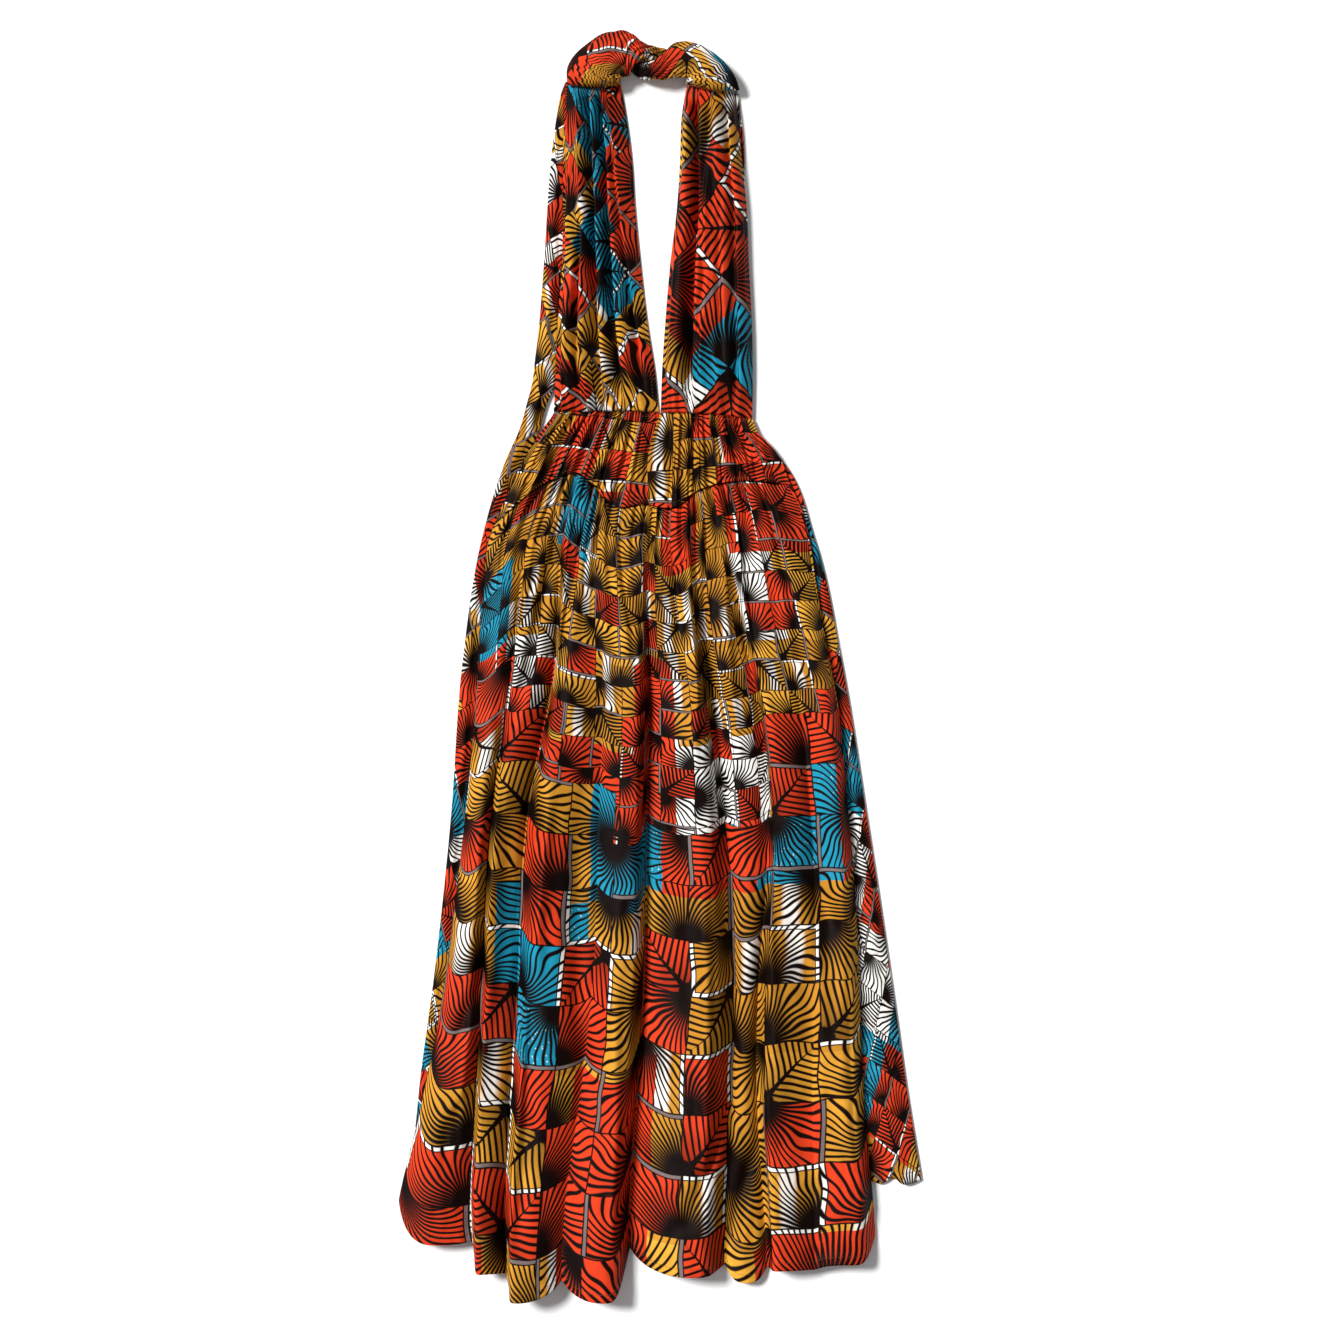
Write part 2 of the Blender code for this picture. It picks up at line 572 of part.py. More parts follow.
def strand_pair(at):
    """Both strands at a station, each as its centre (across, z) and its half width and half height."""
    outer, inner = neck_station(at)
    half = STRAND_SHARE * np.linalg.norm(outer - inner) / 2
    turned = min(max((at - TWIST_FROM) / (TWIST_TO - TWIST_FROM), 0), 1)
    turn = math.pi / 2 * math.cos(math.pi * turned)
    lying = math.sin(turn) ** 2
    wide = half * (1 + lying**2 * (1 / STRAND_SHARE - 1))
    on_top = TWIST_HALF_HEIGHT + lying * (UPPER_HALF_HEIGHT - TWIST_HALF_HEIGHT)
    beneath = TWIST_HALF_HEIGHT + lying * (LOWER_HALF_HEIGHT - TWIST_HALF_HEIGHT)
    apart = STRAND_PRESS * math.cos(turn) * (wide + half)
    low = beneath + SEAM_GAP
    high = low + STRAND_PRESS * abs(math.sin(turn)) * (on_top + beneath)
    first_is_upper = turn > 0
    side = 0.5 * apart
    upper = (on_top, wide, high)
    lower = (beneath, half, low)
    pair = []
    for across, (tall, width, z) in zip((side, -side), (upper, lower) if first_is_upper else (lower, upper)):
        pair.append((np.array([across, z]), width, tall))
    return pair


def build_strand(name, first, last, number, colour):
    """One strand of the neck twist: a rolled strap, pleated along, and flat where it meets the other."""
    rings = []
    before = np.linspace(first, TWIST_FROM, round((TWIST_FROM - first) / STRAND_STEP) + 1)
    turning = np.arange(TWIST_FROM + TWIST_STEP, TWIST_TO - TWIST_STEP / 2, TWIST_STEP)
    after = np.linspace(TWIST_TO, last, round((last - TWIST_TO) / STRAND_STEP) + 1)
    for at in np.concatenate([before, turning, after]):
        pair = strand_pair(at)
        centre, half, tall = pair[number]
        other = pair[1 - number][0]
        angles = np.linspace(0, 2 * np.pi, STRAND_SIDES, endpoint=False)
        pleated = 1 - STRAND_PLEAT_DEPTH * (0.5 - 0.5 * np.cos(STRAND_PLEATS * angles + 0.5 * at))
        section = centre + np.column_stack([half * pleated * np.cos(angles), tall * pleated * np.sin(angles)])
        away = (centre - other) / np.linalg.norm(centre - other)
        past = (section - (centre + other) / 2) @ away - (SEAM_GAP + TWIST_GAP * abs(away[0])) / 2
        section = section - np.minimum(past, 0)[:, None] * away
        outer, inner = neck_station(at)
        direction = (outer - inner) / np.linalg.norm(outer - inner)
        ring = (outer + inner) / 2 + section[:, :1] * direction
        rings.append(np.column_stack([ring, section[:, 1]]))
    points = np.concatenate(rings)
    sides = STRAND_SIDES
    faces = []
    for ring in range(len(rings) - 1):
        for side in range(sides):
            a, b = ring * sides + side, ring * sides + (side + 1) % sides
            faces += [(a, b, b + sides), (a, b + sides, a + sides)]
    last_ring = len(points) - sides
    faces += [(0, side + 1, side) for side in range(1, sides - 1)]
    faces += [(last_ring, last_ring + side, last_ring + side + 1) for side in range(1, sides - 1)]
    add_piece(name, points, np.array(faces), colour)


for old in list(bpy.data.objects):
    bpy.data.objects.remove(old)

build_tail("strap_tail_left", LEFT_TAIL, LEFT_STRAP, -1, OCHRE)
build_tail("strap_tail_right", RIGHT_TAIL, RIGHT_STRAP, 1, ORANGE_RED)
build_backs()
build_skirt_front()
build_yoke_front()
build_strap("strap_front_left", LEFT_STRAP, LEFT_PLEATS, bust_y, OCHRE)
build_strap("strap_front_right", RIGHT_STRAP, RIGHT_PLEATS, bust_y, ORANGE_RED)
build_strand("neck_twist_a", 0.0, 13.0, 0, OCHRE)
build_strand("neck_twist_b", 2.0, 15.0, 1, TEAL)
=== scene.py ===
"""The looks of a halter maxi dress of printed waxed cotton, laid flat on its back with its front up."""

import math
from collections import namedtuple

import bpy
import numpy as np
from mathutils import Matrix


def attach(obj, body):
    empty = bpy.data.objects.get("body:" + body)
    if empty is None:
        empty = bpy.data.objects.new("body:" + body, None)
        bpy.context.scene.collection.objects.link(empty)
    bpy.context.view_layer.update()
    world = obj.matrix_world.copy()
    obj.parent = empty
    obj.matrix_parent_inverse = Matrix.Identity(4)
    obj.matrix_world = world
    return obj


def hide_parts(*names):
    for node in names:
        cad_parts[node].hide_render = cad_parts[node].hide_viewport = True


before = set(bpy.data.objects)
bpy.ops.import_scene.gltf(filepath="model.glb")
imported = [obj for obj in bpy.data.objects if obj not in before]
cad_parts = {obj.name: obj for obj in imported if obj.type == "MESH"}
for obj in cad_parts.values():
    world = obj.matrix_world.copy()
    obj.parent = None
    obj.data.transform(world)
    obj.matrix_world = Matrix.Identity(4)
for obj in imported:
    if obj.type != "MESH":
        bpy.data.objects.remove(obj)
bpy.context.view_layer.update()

# Camera, floor and light
# The dress is seen from straight above, upright in a square picture 1.6 m wide. The floor is a
# pale sheet, lit by an even white room and one large soft lamp from the upper left.
PICTURE_WIDTH = 1.6
PICTURE_CENTRE = (0.0078, -0.0006)
PICTURE_HEIGHT = 0.012  # of the level at which the picture has that width
LENS, SENSOR = 85, 36
FLOOR_SIZE, FLOOR_DROP, FLOOR_GREY = 80, 0.0004, 0.93
ROOM_LIGHT, LAMP_LIGHT, LAMP_ANGLE = 0.31, 4.6, 0.30
LAMP_FROM = (-0.80, 0.45, 1.02)
camera = bpy.data.objects.new("camera", bpy.data.cameras.new("camera"))
camera.data.lens = LENS
camera.data.sensor_width = SENSOR
camera.location = (*PICTURE_CENTRE, PICTURE_HEIGHT + PICTURE_WIDTH * LENS / SENSOR)
bpy.context.scene.collection.objects.link(camera)
bpy.context.scene.camera = camera


def new_finish(name, roughness, specular):
    """A new material and its main shader."""
    material = bpy.data.materials.new(name)
    material.use_nodes = True
    shader = material.node_tree.nodes["Principled BSDF"]
    shader.inputs["Roughness"].default_value = roughness
    shader.inputs["Specular IOR Level"].default_value = specular
    return material, shader


bpy.ops.mesh.primitive_plane_add(size=FLOOR_SIZE, location=(0, 0, -FLOOR_DROP))
floor = bpy.context.object
floor.name = "floor"
floor_paint, floor_shader = new_finish("pale floor", roughness=0.9, specular=0.1)
floor_shader.inputs["Base Color"].default_value = (FLOOR_GREY, FLOOR_GREY, FLOOR_GREY, 1)
floor.data.materials.append(floor_paint)

room = bpy.data.worlds.new("white room")
room.use_nodes = True
room.node_tree.nodes["Background"].inputs["Color"].default_value = (1, 1, 1, 1)
room.node_tree.nodes["Background"].inputs["Strength"].default_value = ROOM_LIGHT
bpy.context.scene.world = room
bpy.context.scene.view_settings.view_transform = "Standard"
lamp = bpy.data.objects.new("large soft lamp, upper left", bpy.data.lights.new("large soft lamp", "SUN"))
lamp.data.energy = LAMP_LIGHT
lamp.data.angle = LAMP_ANGLE
lamp.rotation_euler = (
    math.acos(LAMP_FROM[2] / np.linalg.norm(LAMP_FROM)),
    0,
    math.atan2(LAMP_FROM[1], LAMP_FROM[0]) + math.pi / 2,
)
bpy.context.scene.collection.objects.link(lamp)


# Strap ends
# The free ends of the two straps hang behind the dress. Each is a strip of the printed cotton,
# folded double along its outer edge, and lies flat on the floor under everything else.
TAIL_HEIGHT = 0.0046
SEAM_GAP = 0.0003
CLOTH = 0.0016  # how far the front stands over what it lies on, as in the solids
WALL = 0.0009  # the cloth's own thickness here
Edges = namedtuple("Edges", "y left right")
BODY = (
    Edges(0.305, -0.127, 0.1105),
    Edges(0.281, -0.145, 0.1165),
    Edges(0.268, -0.152, 0.130),
    Edges(0.245, -0.165, 0.147),
    Edges(0.218, -0.178, 0.157),
    Edges(0.186, -0.193, 0.171),
    Edges(0.150, -0.206, 0.180),
    Edges(0.103, -0.211, 0.187),
    Edges(0.031, -0.217, 0.199),
    Edges(-0.041, -0.221, 0.213),
    Edges(-0.161, -0.232, 0.225),
    Edges(-0.281, -0.246, 0.235),
    Edges(-0.401, -0.262, 0.240),
    Edges(-0.545, -0.291, 0.247),
    Edges(-0.641, -0.314, 0.256),
    Edges(-0.700, -0.322, 0.260),
)
LEFT_STRAP = (
    Edges(0.7010, -0.113, -0.0475),
    Edges(0.665, -0.115, -0.041),
    Edges(0.607, -0.1165, -0.0335),
    Edges(0.553, -0.1165, -0.030),
    Edges(0.481, -0.118, -0.023),
    Edges(0.409, -0.1235, -0.0145),
    Edges(0.355, -0.1255, -0.006),
    Edges(0.3056, -0.1275, -0.0012),
)
RIGHT_STRAP = (
    Edges(0.6920, 0.031, 0.089),
    Edges(0.665, 0.0265, 0.093),
    Edges(0.607, 0.024, 0.0985),
    Edges(0.553, 0.0205, 0.104),
    Edges(0.481, 0.012, 0.107),
    Edges(0.409, 0.006, 0.1105),
    Edges(0.355, 0.0025, 0.1115),
    Edges(0.3056, 0.0008, 0.1105),
)
Tail = namedtuple("Tail", "y outer width")
LEFT_TAIL = (
    Tail(0.7025, -0.1140, 0.012),
    Tail(0.6900, -0.1188, 0.0168),
    Tail(0.6650, -0.1238, 0.0208),
    Tail(0.625, -0.1295, 0.026),
    Tail(0.481, -0.140, 0.031),
    Tail(0.403, -0.1464, 0.030),
    Tail(0.365, -0.151, 0.0285),
    Tail(0.340, -0.154, 0.0285),
    Tail(0.317, -0.160, 0.0245),
    Tail(0.288, -0.168, 0.024),
    Tail(0.247, -0.186, 0.031),
    Tail(0.151, -0.215, 0.036),
    Tail(0.007, -0.2375, 0.043),
    Tail(-0.185, -0.252, 0.048),
    Tail(-0.377, -0.2725, 0.048),
    Tail(-0.500, -0.289, 0.040),
    Tail(-0.555, -0.2945, 0.012),
)
RIGHT_TAIL = (
    Tail(0.694, 0.0935, 0.020),
    Tail(0.640, 0.100, 0.028),
    Tail(0.481, 0.100, 0.036),
    Tail(0.340, 0.104, 0.040),
    Tail(0.300, 0.110, 0.042),
    Tail(0.280, 0.117, 0.043),
    Tail(0.262, 0.1345, 0.045),
    Tail(0.247, 0.1475, 0.048),
    Tail(0.151, 0.187, 0.060),
    Tail(0.007, 0.2185, 0.070),
    Tail(-0.185, 0.2495, 0.074),
    Tail(-0.377, 0.2785, 0.079),
    Tail(-0.521, 0.299, 0.079),
    Tail(-0.622, 0.315, 0.070),
)
# How far the right end's edge rises, from its fold inwards.
TAIL_END_WAVES = (0.004, 0.000, -0.001, 0.007, 0.000, -0.002, 0.006)
TAIL_END_FROM = 0.9
TAIL_ROWS, TAIL_BEND_STEPS, TAIL_COLUMNS = 301, 9, 29
TAIL_CLEAR, TAIL_LAYER_LEAST, TAIL_LAYER_MOST = 0.004, 0.006, 0.050
TAIL_ROUND, TAIL_ROUND_SHARE, TAIL_ROUND_FROM = 0.0022, 0.15, 0.005
TAIL_CRUMPLE, TAIL_CRUMPLE_LENGTH = 0.0020, 0.019
TAIL_CRUMPLE_FROM, TAIL_CRUMPLE_RUN = 0.008, 0.012
TAIL_INNER_LEAST, TAIL_INNER_OVER = 0.002, 0.001
TAIL_SQUARE, TAIL_PRINT_STRETCH, TAIL_PRINT_TURN = 0.042, 1.5, 0.5
TAIL_STITCH_ROW, TAIL_STITCH_FROM, TAIL_STITCH_TO = -4, 3, -13
BAND_TOP_Y = 0.3


def smooth(u):
    """A step from 0 to 1 with level ends."""
    return 0.5 - 0.5 * np.cos(np.pi * np.clip(u, 0, 1))


def along(stations, values, at):
    """A smooth curve through the values at the stations, held level past its ends."""
    order = np.argsort(stations)
    stations = np.asarray(stations, float)[order]
    values = np.asarray(values, float)[order]
    slopes = np.gradient(values, stations)
    first = np.clip(np.searchsorted(stations, at) - 1, 0, len(stations) - 2)
    run = stations[first + 1] - stations[first]
    u = np.clip((at - stations[first]) / run, 0, 1)
    return (
        values[first] * (1 + 2 * u) * (1 - u) ** 2
        + slopes[first] * run * u * (1 - u) ** 2
        + values[first + 1] * u * u * (3 - 2 * u)
        - slopes[first + 1] * run * u * u * (1 - u)
    )


def column_of(rows, stations, values, at):
    """The value column of a table, read as a smooth curve over its station column."""
    return along([getattr(row, stations) for row in rows], [getattr(row, values) for row in rows], at)


def bell(distance, width):
    """1 where the distance is 0, falling softly to 0 on both sides."""
    return np.exp(-((distance / width) ** 2))


def past(start, share):
    """From 0 at the start to 1 where the share is 1, with level ends."""
    return smooth((share - start) / (1 - start))


def body_left(y):
    """The left edge of the band and skirt at the height y."""
    return column_of(BODY, "y", "left", y)


def body_right(y):
    """The right edge of the band and skirt at the height y."""
    return column_of(BODY, "y", "right", y)


def ripples(u, v, length, seed):
    """Soft uneven ripples between -1 and 1, about as long as given, with no repeat that shows."""
    total = 0
    for number in range(5):
        turn = seed + 2.4 * number
        across = (np.cos(turn) * u + np.sin(turn) * v) * (1 + 0.37 * number) / length
        bend = 0.8 * np.sin(2.1 * (np.sin(turn) * u - np.cos(turn) * v) / length + 1.7 * number)
        total = total + np.sin(2 * np.pi * across + bend + 5.1 * seed) / (1 + 0.5 * number)
    return total / 2.3


def print_places(u, v, tile, turn=0.0, shift=(0.0, 0.0)):
    """Places in the printed repeat, counted in tiles, for lengths in metres along the cloth."""
    cos, sin = math.cos(turn), math.sin(turn)
    return np.stack([(cos * u - sin * v) / tile + shift[0], (sin * u + cos * v) / tile + shift[1]], -1)


def outward(points):
    """The unit normals of a grid of points, on the cloth's outer side."""
    normal = np.cross(np.gradient(points, axis=0), np.gradient(points, axis=1))
    return normal / np.linalg.norm(normal, axis=-1, keepdims=True)


def linked(name, mesh):
    """The mesh as an object of the scene."""
    piece = bpy.data.objects.new(name, mesh)
    bpy.context.scene.collection.objects.link(piece)
    return piece


def smooth_mesh(name, points, faces, corner_points, prints):
    """A smooth mesh, with the places of its corners in the print as UV maps."""
    mesh = bpy.data.meshes.new(name)
    mesh.from_pydata(points.tolist(), [], faces)
    mesh.shade_smooth()
    for map_name, places in prints.items():
        layer = mesh.uv_layers.new(name=map_name)
        layer.data.foreach_set("uv", places[corner_points].astype(np.float32).ravel())
    return mesh


def cloth_wall(name, outer, prints, thickness=WALL, straight_down=False):
    """A thin closed wall under the outer points, with its places in the print as UV maps.

    The inner side has half the rows and columns of the outer, so both counts are odd.
    """
    rows, columns = outer.shape[:2]
    if straight_down:
        inner = outer - np.array([0, 0, thickness])
    else:
        inner = outer - thickness * outward(outer)
    inner = inner[::2, ::2]
    points = np.concatenate([outer.reshape(-1, 3), inner.reshape(-1, 3)])

    def quads_and_rim(rows, columns, first):
        """The faces of one side of the wall, and the points round its edge in order."""
        number = first + np.arange(rows * columns).reshape(rows, columns)
        corners = (number[:-1, :-1], number[1:, :-1], number[1:, 1:], number[:-1, 1:])
        rim = np.concatenate([number[0, :-1], number[:-1, -1], number[-1, :0:-1], number[:0:-1, 0]])
        return np.stack([corner.ravel() for corner in corners], 1), rim

    upper, rim = quads_and_rim(rows, columns, 0)
    lower, low_rim = quads_and_rim(rows // 2 + 1, columns // 2 + 1, rows * columns)
    edge = np.stack([rim[::2], rim[1::2], np.roll(rim[::2], -1), np.roll(low_rim, -1), low_rim], 1)
    faces = [*upper.tolist(), *lower[:, ::-1].tolist(), *edge.tolist()]
    corner_points = np.concatenate([upper.ravel(), lower[:, ::-1].ravel(), edge.ravel()])
    both_sides = {
        map_name: np.concatenate([places.reshape(-1, 2), places[::2, ::2].reshape(-1, 2)])
        for map_name, places in prints.items()
    }
    return linked(name, smooth_mesh(name, points, faces, corner_points, both_sides))


class Field:
    """A number that varies over the cloth: a shader node's output, with the usual arithmetic."""

    def __init__(self, tree, socket):
        self.tree = tree
        self.socket = socket

    def step(self, operation, *others):
        """One math node, fed by this field and by other fields or plain numbers."""
        node = self.tree.nodes.new("ShaderNodeMath")
        node.operation = operation
        for slot, value in zip(node.inputs, (self, *others)):
            if isinstance(value, Field):
                self.tree.links.new(value.socket, slot)
            else:
                slot.default_value = value
        return Field(self.tree, node.outputs[0])

    def __add__(self, other):
        return self.step("ADD", other)

    def __sub__(self, other):
        return self.step("SUBTRACT", other)

    def __mul__(self, other):
        return self.step("MULTIPLY", other)

    def __truediv__(self, other):
        return self.step("DIVIDE", other)

    def flipped(self):
        """0 for 1 and 1 for 0."""
        return self * -1 + 1

    def size(self):
        return self.step("ABSOLUTE")

    def least(self, other):
        return self.step("MINIMUM", other)

    def most(self, other):
        return self.step("MAXIMUM", other)

    def above(self, limit, soft):
        """1 where the field is over the limit and 0 where it is under, with a soft edge."""
        over = (self - limit).step("MULTIPLY_ADD", 1 / soft, 0.5)
        over.socket.node.use_clamp = True
        return over

    def below(self, limit, soft):
        """1 where the field is under the limit and 0 where it is over, with a soft edge."""
        return self.above(limit, soft).flipped()


def parts_of(tree, vector):
    """The parts of a vector or colour, as fields."""
    node = tree.nodes.new("ShaderNodeSeparateXYZ")
    tree.links.new(vector, node.inputs[0])
    return [Field(tree, output) for output in node.outputs]


def chance(tree, x, y, seed):
    """Three random numbers for the whole cell that holds x and y."""
    cell = tree.nodes.new("ShaderNodeCombineXYZ")
    for slot, value in zip(cell.inputs, (x, y)):
        tree.links.new(value.step("FLOOR").socket, slot)
    noise = tree.nodes.new("ShaderNodeTexWhiteNoise")
    noise.noise_dimensions = "4D"
    tree.links.new(cell.outputs[0], noise.inputs["Vector"])
    if isinstance(seed, Field):
        tree.links.new(seed.socket, noise.inputs["W"])
    else:
        noise.inputs["W"].default_value = seed
    return parts_of(tree, noise.outputs["Color"])


def blended(tree, share, first, second):
    """The first colour where the share is 0 and the second where it is 1."""
    mix = tree.nodes.new("ShaderNodeMix")
    mix.data_type = "RGBA"
    tree.links.new(share.socket, mix.inputs["Factor"])
    for slot, colour in ((mix.inputs["A"], first), (mix.inputs["B"], second)):
        if isinstance(colour, tuple):
            slot.default_value = (*colour, 1)
        else:
            tree.links.new(colour, slot)
    return mix.outputs["Result"]


def spots(tree, places, scale, detail):
    """Soft uneven spots over the places, as one field and as a colour."""
    noise = tree.nodes.new("ShaderNodeTexNoise")
    noise.inputs["Scale"].default_value = scale
    noise.inputs["Detail"].default_value = detail
    tree.links.new(places, noise.inputs["Vector"])
    return Field(tree, noise.outputs["Fac"]), noise.outputs["Color"]


def dimmed(tree, colour, share):
    """The colour, multiplied by a field."""
    scaled = tree.nodes.new("ShaderNodeVectorMath")
    scaled.operation = "SCALE"
    tree.links.new(colour, scaled.inputs[0])
    tree.links.new(share.socket, scaled.inputs["Scale"])
    return scaled.outputs[0]


# The print is a plain patchwork of squares. Each holds a fan of rays, or the veins of a leaf, that
# spreads from a dark corner, and some have a grey or white strip along a far side. Sizes are in
# squares. A name that ends in FROM or UNTIL is a limit for a square's own random number.
WHITE = (0.88, 0.85, 0.80)
OCHRE, GOLD = (0.46, 0.19, 0.018), (0.76, 0.37, 0.040)
TEAL = (0.012, 0.25, 0.38)
ORANGE_RED = (0.64, 0.045, 0.012)
GREY = (0.17, 0.13, 0.125)
INK = (0.005, 0.002, 0.0015)
HAND_WANDER, HAND_SPOTS = 0.16, 1.1  # how far drawn lines stray, and how fast that changes
RAY_SHARE, RAY_SOFT = 0.29, 0.012
RAY_BOW, RAY_STRAY, RAY_WIDTH_CHANGE = 0.9, 0.6, 0.016
VEINS_ALONG, VEINS_BESIDE, VEIN_GAP = 5.2, 3.4, 0.11
RIB, RIB_TAPER = 0.07, 0.05
HEART, HEART_SOFT, HEART_LIGHT = 0.24, 0.03, 0.18
STRIP, STRIP_LINE, SIDE_LINE, LINE_SOFT = 0.925, 0.010, 0.013, 0.008
WHITE_BAND, WHITE_BAND_HALF = 0.55, 0.15
SPECKS, SPECK_SIZE = 15, 0.15
SHARP = 0.00001  # the softness of a choice that is made for a whole square
WHITE_UNTIL, TEAL_UNTIL, RED_FROM = 0.17, 0.35, 0.70
TURN_FROM, FOOT_TURN_FROM = 0.5, 0.35
LEAF_FROM, OWN_COLOUR_FROM, BAND_FROM, SPECKS_FROM = 0.80, 0.80, 0.72, 0.55
STRIP_FROM, FOOT_STRIP_FROM, PALE_STRIP_FROM, PALE_FOOT_FROM = 0.60, 0.62, 0.88, 0.86
RAYS, FEW_RAYS, SMALL_RAYS = 12.5, 9.0, 8.5
REDDER_EACH_ROW, REDDEST = 0.12, 0.5
# The small squares reach further down in the middle of the skirt than at its sides, by chance too.
SMALL_MIDDLE, SMALL_SLOPE, SMALL_LUCK = 5, 0.75, 1.6
# The cotton itself: uneven dye, a fine weave, and small crumples that only show as shading.
DYE_SPOTS, DYE_CHANGE = 26, 0.5
CRUMPLE_SPOTS, CRUMPLE_DEPTH = 60, 0.0014
THREADS, THREAD_RELIEF, INK_RELIEF = 720, 0.03, 0.02
ROUGHNESS, INK_GLOSS = 0.60, 0.08


def make_fan_squares():
    """The node group that draws the patchwork at a place, counted in squares."""
    tree = bpy.data.node_groups.new("fan squares", "ShaderNodeTree")
    tree.interface.new_socket("Place", in_out="INPUT", socket_type="NodeSocketVector")
    for socket_name in ("Seed", "Rays", "Redness"):
        tree.interface.new_socket(socket_name, in_out="INPUT", socket_type="NodeSocketFloat")
    tree.interface.new_socket("Colour", in_out="OUTPUT", socket_type="NodeSocketColor")
    tree.interface.new_socket("Ink", in_out="OUTPUT", socket_type="NodeSocketFloat")
    tree.interface.new_socket("Drawn place", in_out="OUTPUT", socket_type="NodeSocketVector")
    given = tree.nodes.new("NodeGroupInput")
    result = tree.nodes.new("NodeGroupOutput")
    seed, ray_count, redness = (Field(tree, given.outputs[name]) for name in ("Seed", "Rays", "Redness"))

    drawn = parts_of(tree, spots(tree, given.outputs["Place"], HAND_SPOTS, 1.0)[1])
    x, y, _ = parts_of(tree, given.outputs["Place"])
    x, y = x + (drawn[0] - 0.5) * HAND_WANDER, y + (drawn[1] - 0.5) * HAND_WANDER
    drawn_place = tree.nodes.new("ShaderNodeCombineXYZ")
    tree.links.new(x.socket, drawn_place.inputs["X"])
    tree.links.new(y.socket, drawn_place.inputs["Y"])
    tree.links.new(drawn_place.outputs[0], result.inputs["Drawn place"])

    turn_x, turn_y, bend = chance(tree, x, y, seed)
    has_strip, has_foot, is_leaf = chance(tree, x, y, seed + 3.7)
    own, banded, speckled = chance(tree, x, y, seed + 8.3)
    block, golden, _ = chance(tree, x * 0.5 + 0.27, y * 0.34 + 0.2, seed + 11.9)

    in_x = (turn_x.above(TURN_FROM, SHARP) - x.step("FRACT")).size()
    in_y = (turn_y.above(FOOT_TURN_FROM, SHARP) - y.step("FRACT")).size()
    radius = (in_x * in_x + in_y * in_y).step("SQRT")
    bow = (bend - 0.5) * (radius - 0.5) * RAY_BOW
    angle = in_y.step("ARCTAN2", in_x) + bow + (drawn[2] - 0.5) * RAY_STRAY
    between_rays = ((angle * ray_count * (2 / math.pi)).step("FRACT") - 0.5).size()
    off_ray = between_rays * radius / ray_count * (math.pi / 2)
    length, beside = in_x + in_y, (in_x - in_y).size()
    between_veins = ((length * VEINS_ALONG - beside * VEINS_BESIDE).step("FRACT") - 0.5).size()
    off_rib = (beside + length * RIB_TAPER - RIB).most(0.0)
    off_vein = (between_veins * VEIN_GAP).least(off_rib)
    off_line = off_ray + (off_vein - off_ray) * is_leaf.above(LEAF_FROM, SHARP)
    line_width = (drawn[1] - 0.5) * RAY_WIDTH_CHANGE + ray_count.step("POWER", -1.0) * RAY_SHARE
    rays = (off_line - line_width).below(0, RAY_SOFT).most(radius.below(HEART, HEART_SOFT))

    across = in_x * has_strip.above(STRIP_FROM, SHARP)
    strip_place = across.most(in_y * has_foot.above(FOOT_STRIP_FROM, SHARP))
    strip = strip_place.above(STRIP, LINE_SOFT)
    strip_line = (strip_place - STRIP).size().below(STRIP_LINE, LINE_SOFT)
    side = in_x.least(in_x.flipped()).least(in_y.least(in_y.flipped()))
    side_line = side.below(SIDE_LINE, 0.010)

    pick = block + (own - block) * own.above(OWN_COLOUR_FROM, SHARP)
    pick = pick + (pick * -1 + 0.9) * redness
    ground = blended(tree, golden * 0.9, OCHRE, GOLD)
    band = (in_x - WHITE_BAND).size().below(WHITE_BAND_HALF, 0.10) * banded.above(BAND_FROM, SHARP)
    ground = blended(tree, band * 0.9, ground, WHITE)
    ground = blended(tree, pick.above(RED_FROM, SHARP), ground, ORANGE_RED)
    ground = blended(tree, pick.below(TEAL_UNTIL, SHARP), ground, TEAL)
    ground = blended(tree, pick.below(WHITE_UNTIL, SHARP), ground, WHITE)
    is_teal = pick.below(TEAL_UNTIL, SHARP) * pick.above(WHITE_UNTIL, SHARP)

    dots = tree.nodes.new("ShaderNodeTexVoronoi")
    dots.inputs["Scale"].default_value = SPECKS
    tree.links.new(given.outputs["Place"], dots.inputs["Vector"])
    speck = Field(tree, dots.outputs["Distance"]).below(SPECK_SIZE, 0.06) * speckled.above(SPECKS_FROM, SHARP)
    ground = blended(tree, speck * is_teal, ground, WHITE)
    lit = (radius * 1.1).least(1.0) * (1 - HEART_LIGHT) + HEART_LIGHT
    ground = dimmed(tree, ground, lit)
    pale = has_foot.above(PALE_FOOT_FROM, SHARP).most(has_strip.above(PALE_STRIP_FROM, SHARP))
    strip_colour = blended(tree, pale, GREY, WHITE)
    ground = blended(tree, strip, ground, strip_colour)
    ink = rays * (strip * pale.flipped()).flipped()
    ink = ink.most(strip_line).most(side_line)
    tree.links.new(blended(tree, ink, ground, INK), result.inputs["Colour"])
    tree.links.new(ink.socket, result.inputs["Ink"])
    return tree


fan_squares = make_fan_squares()


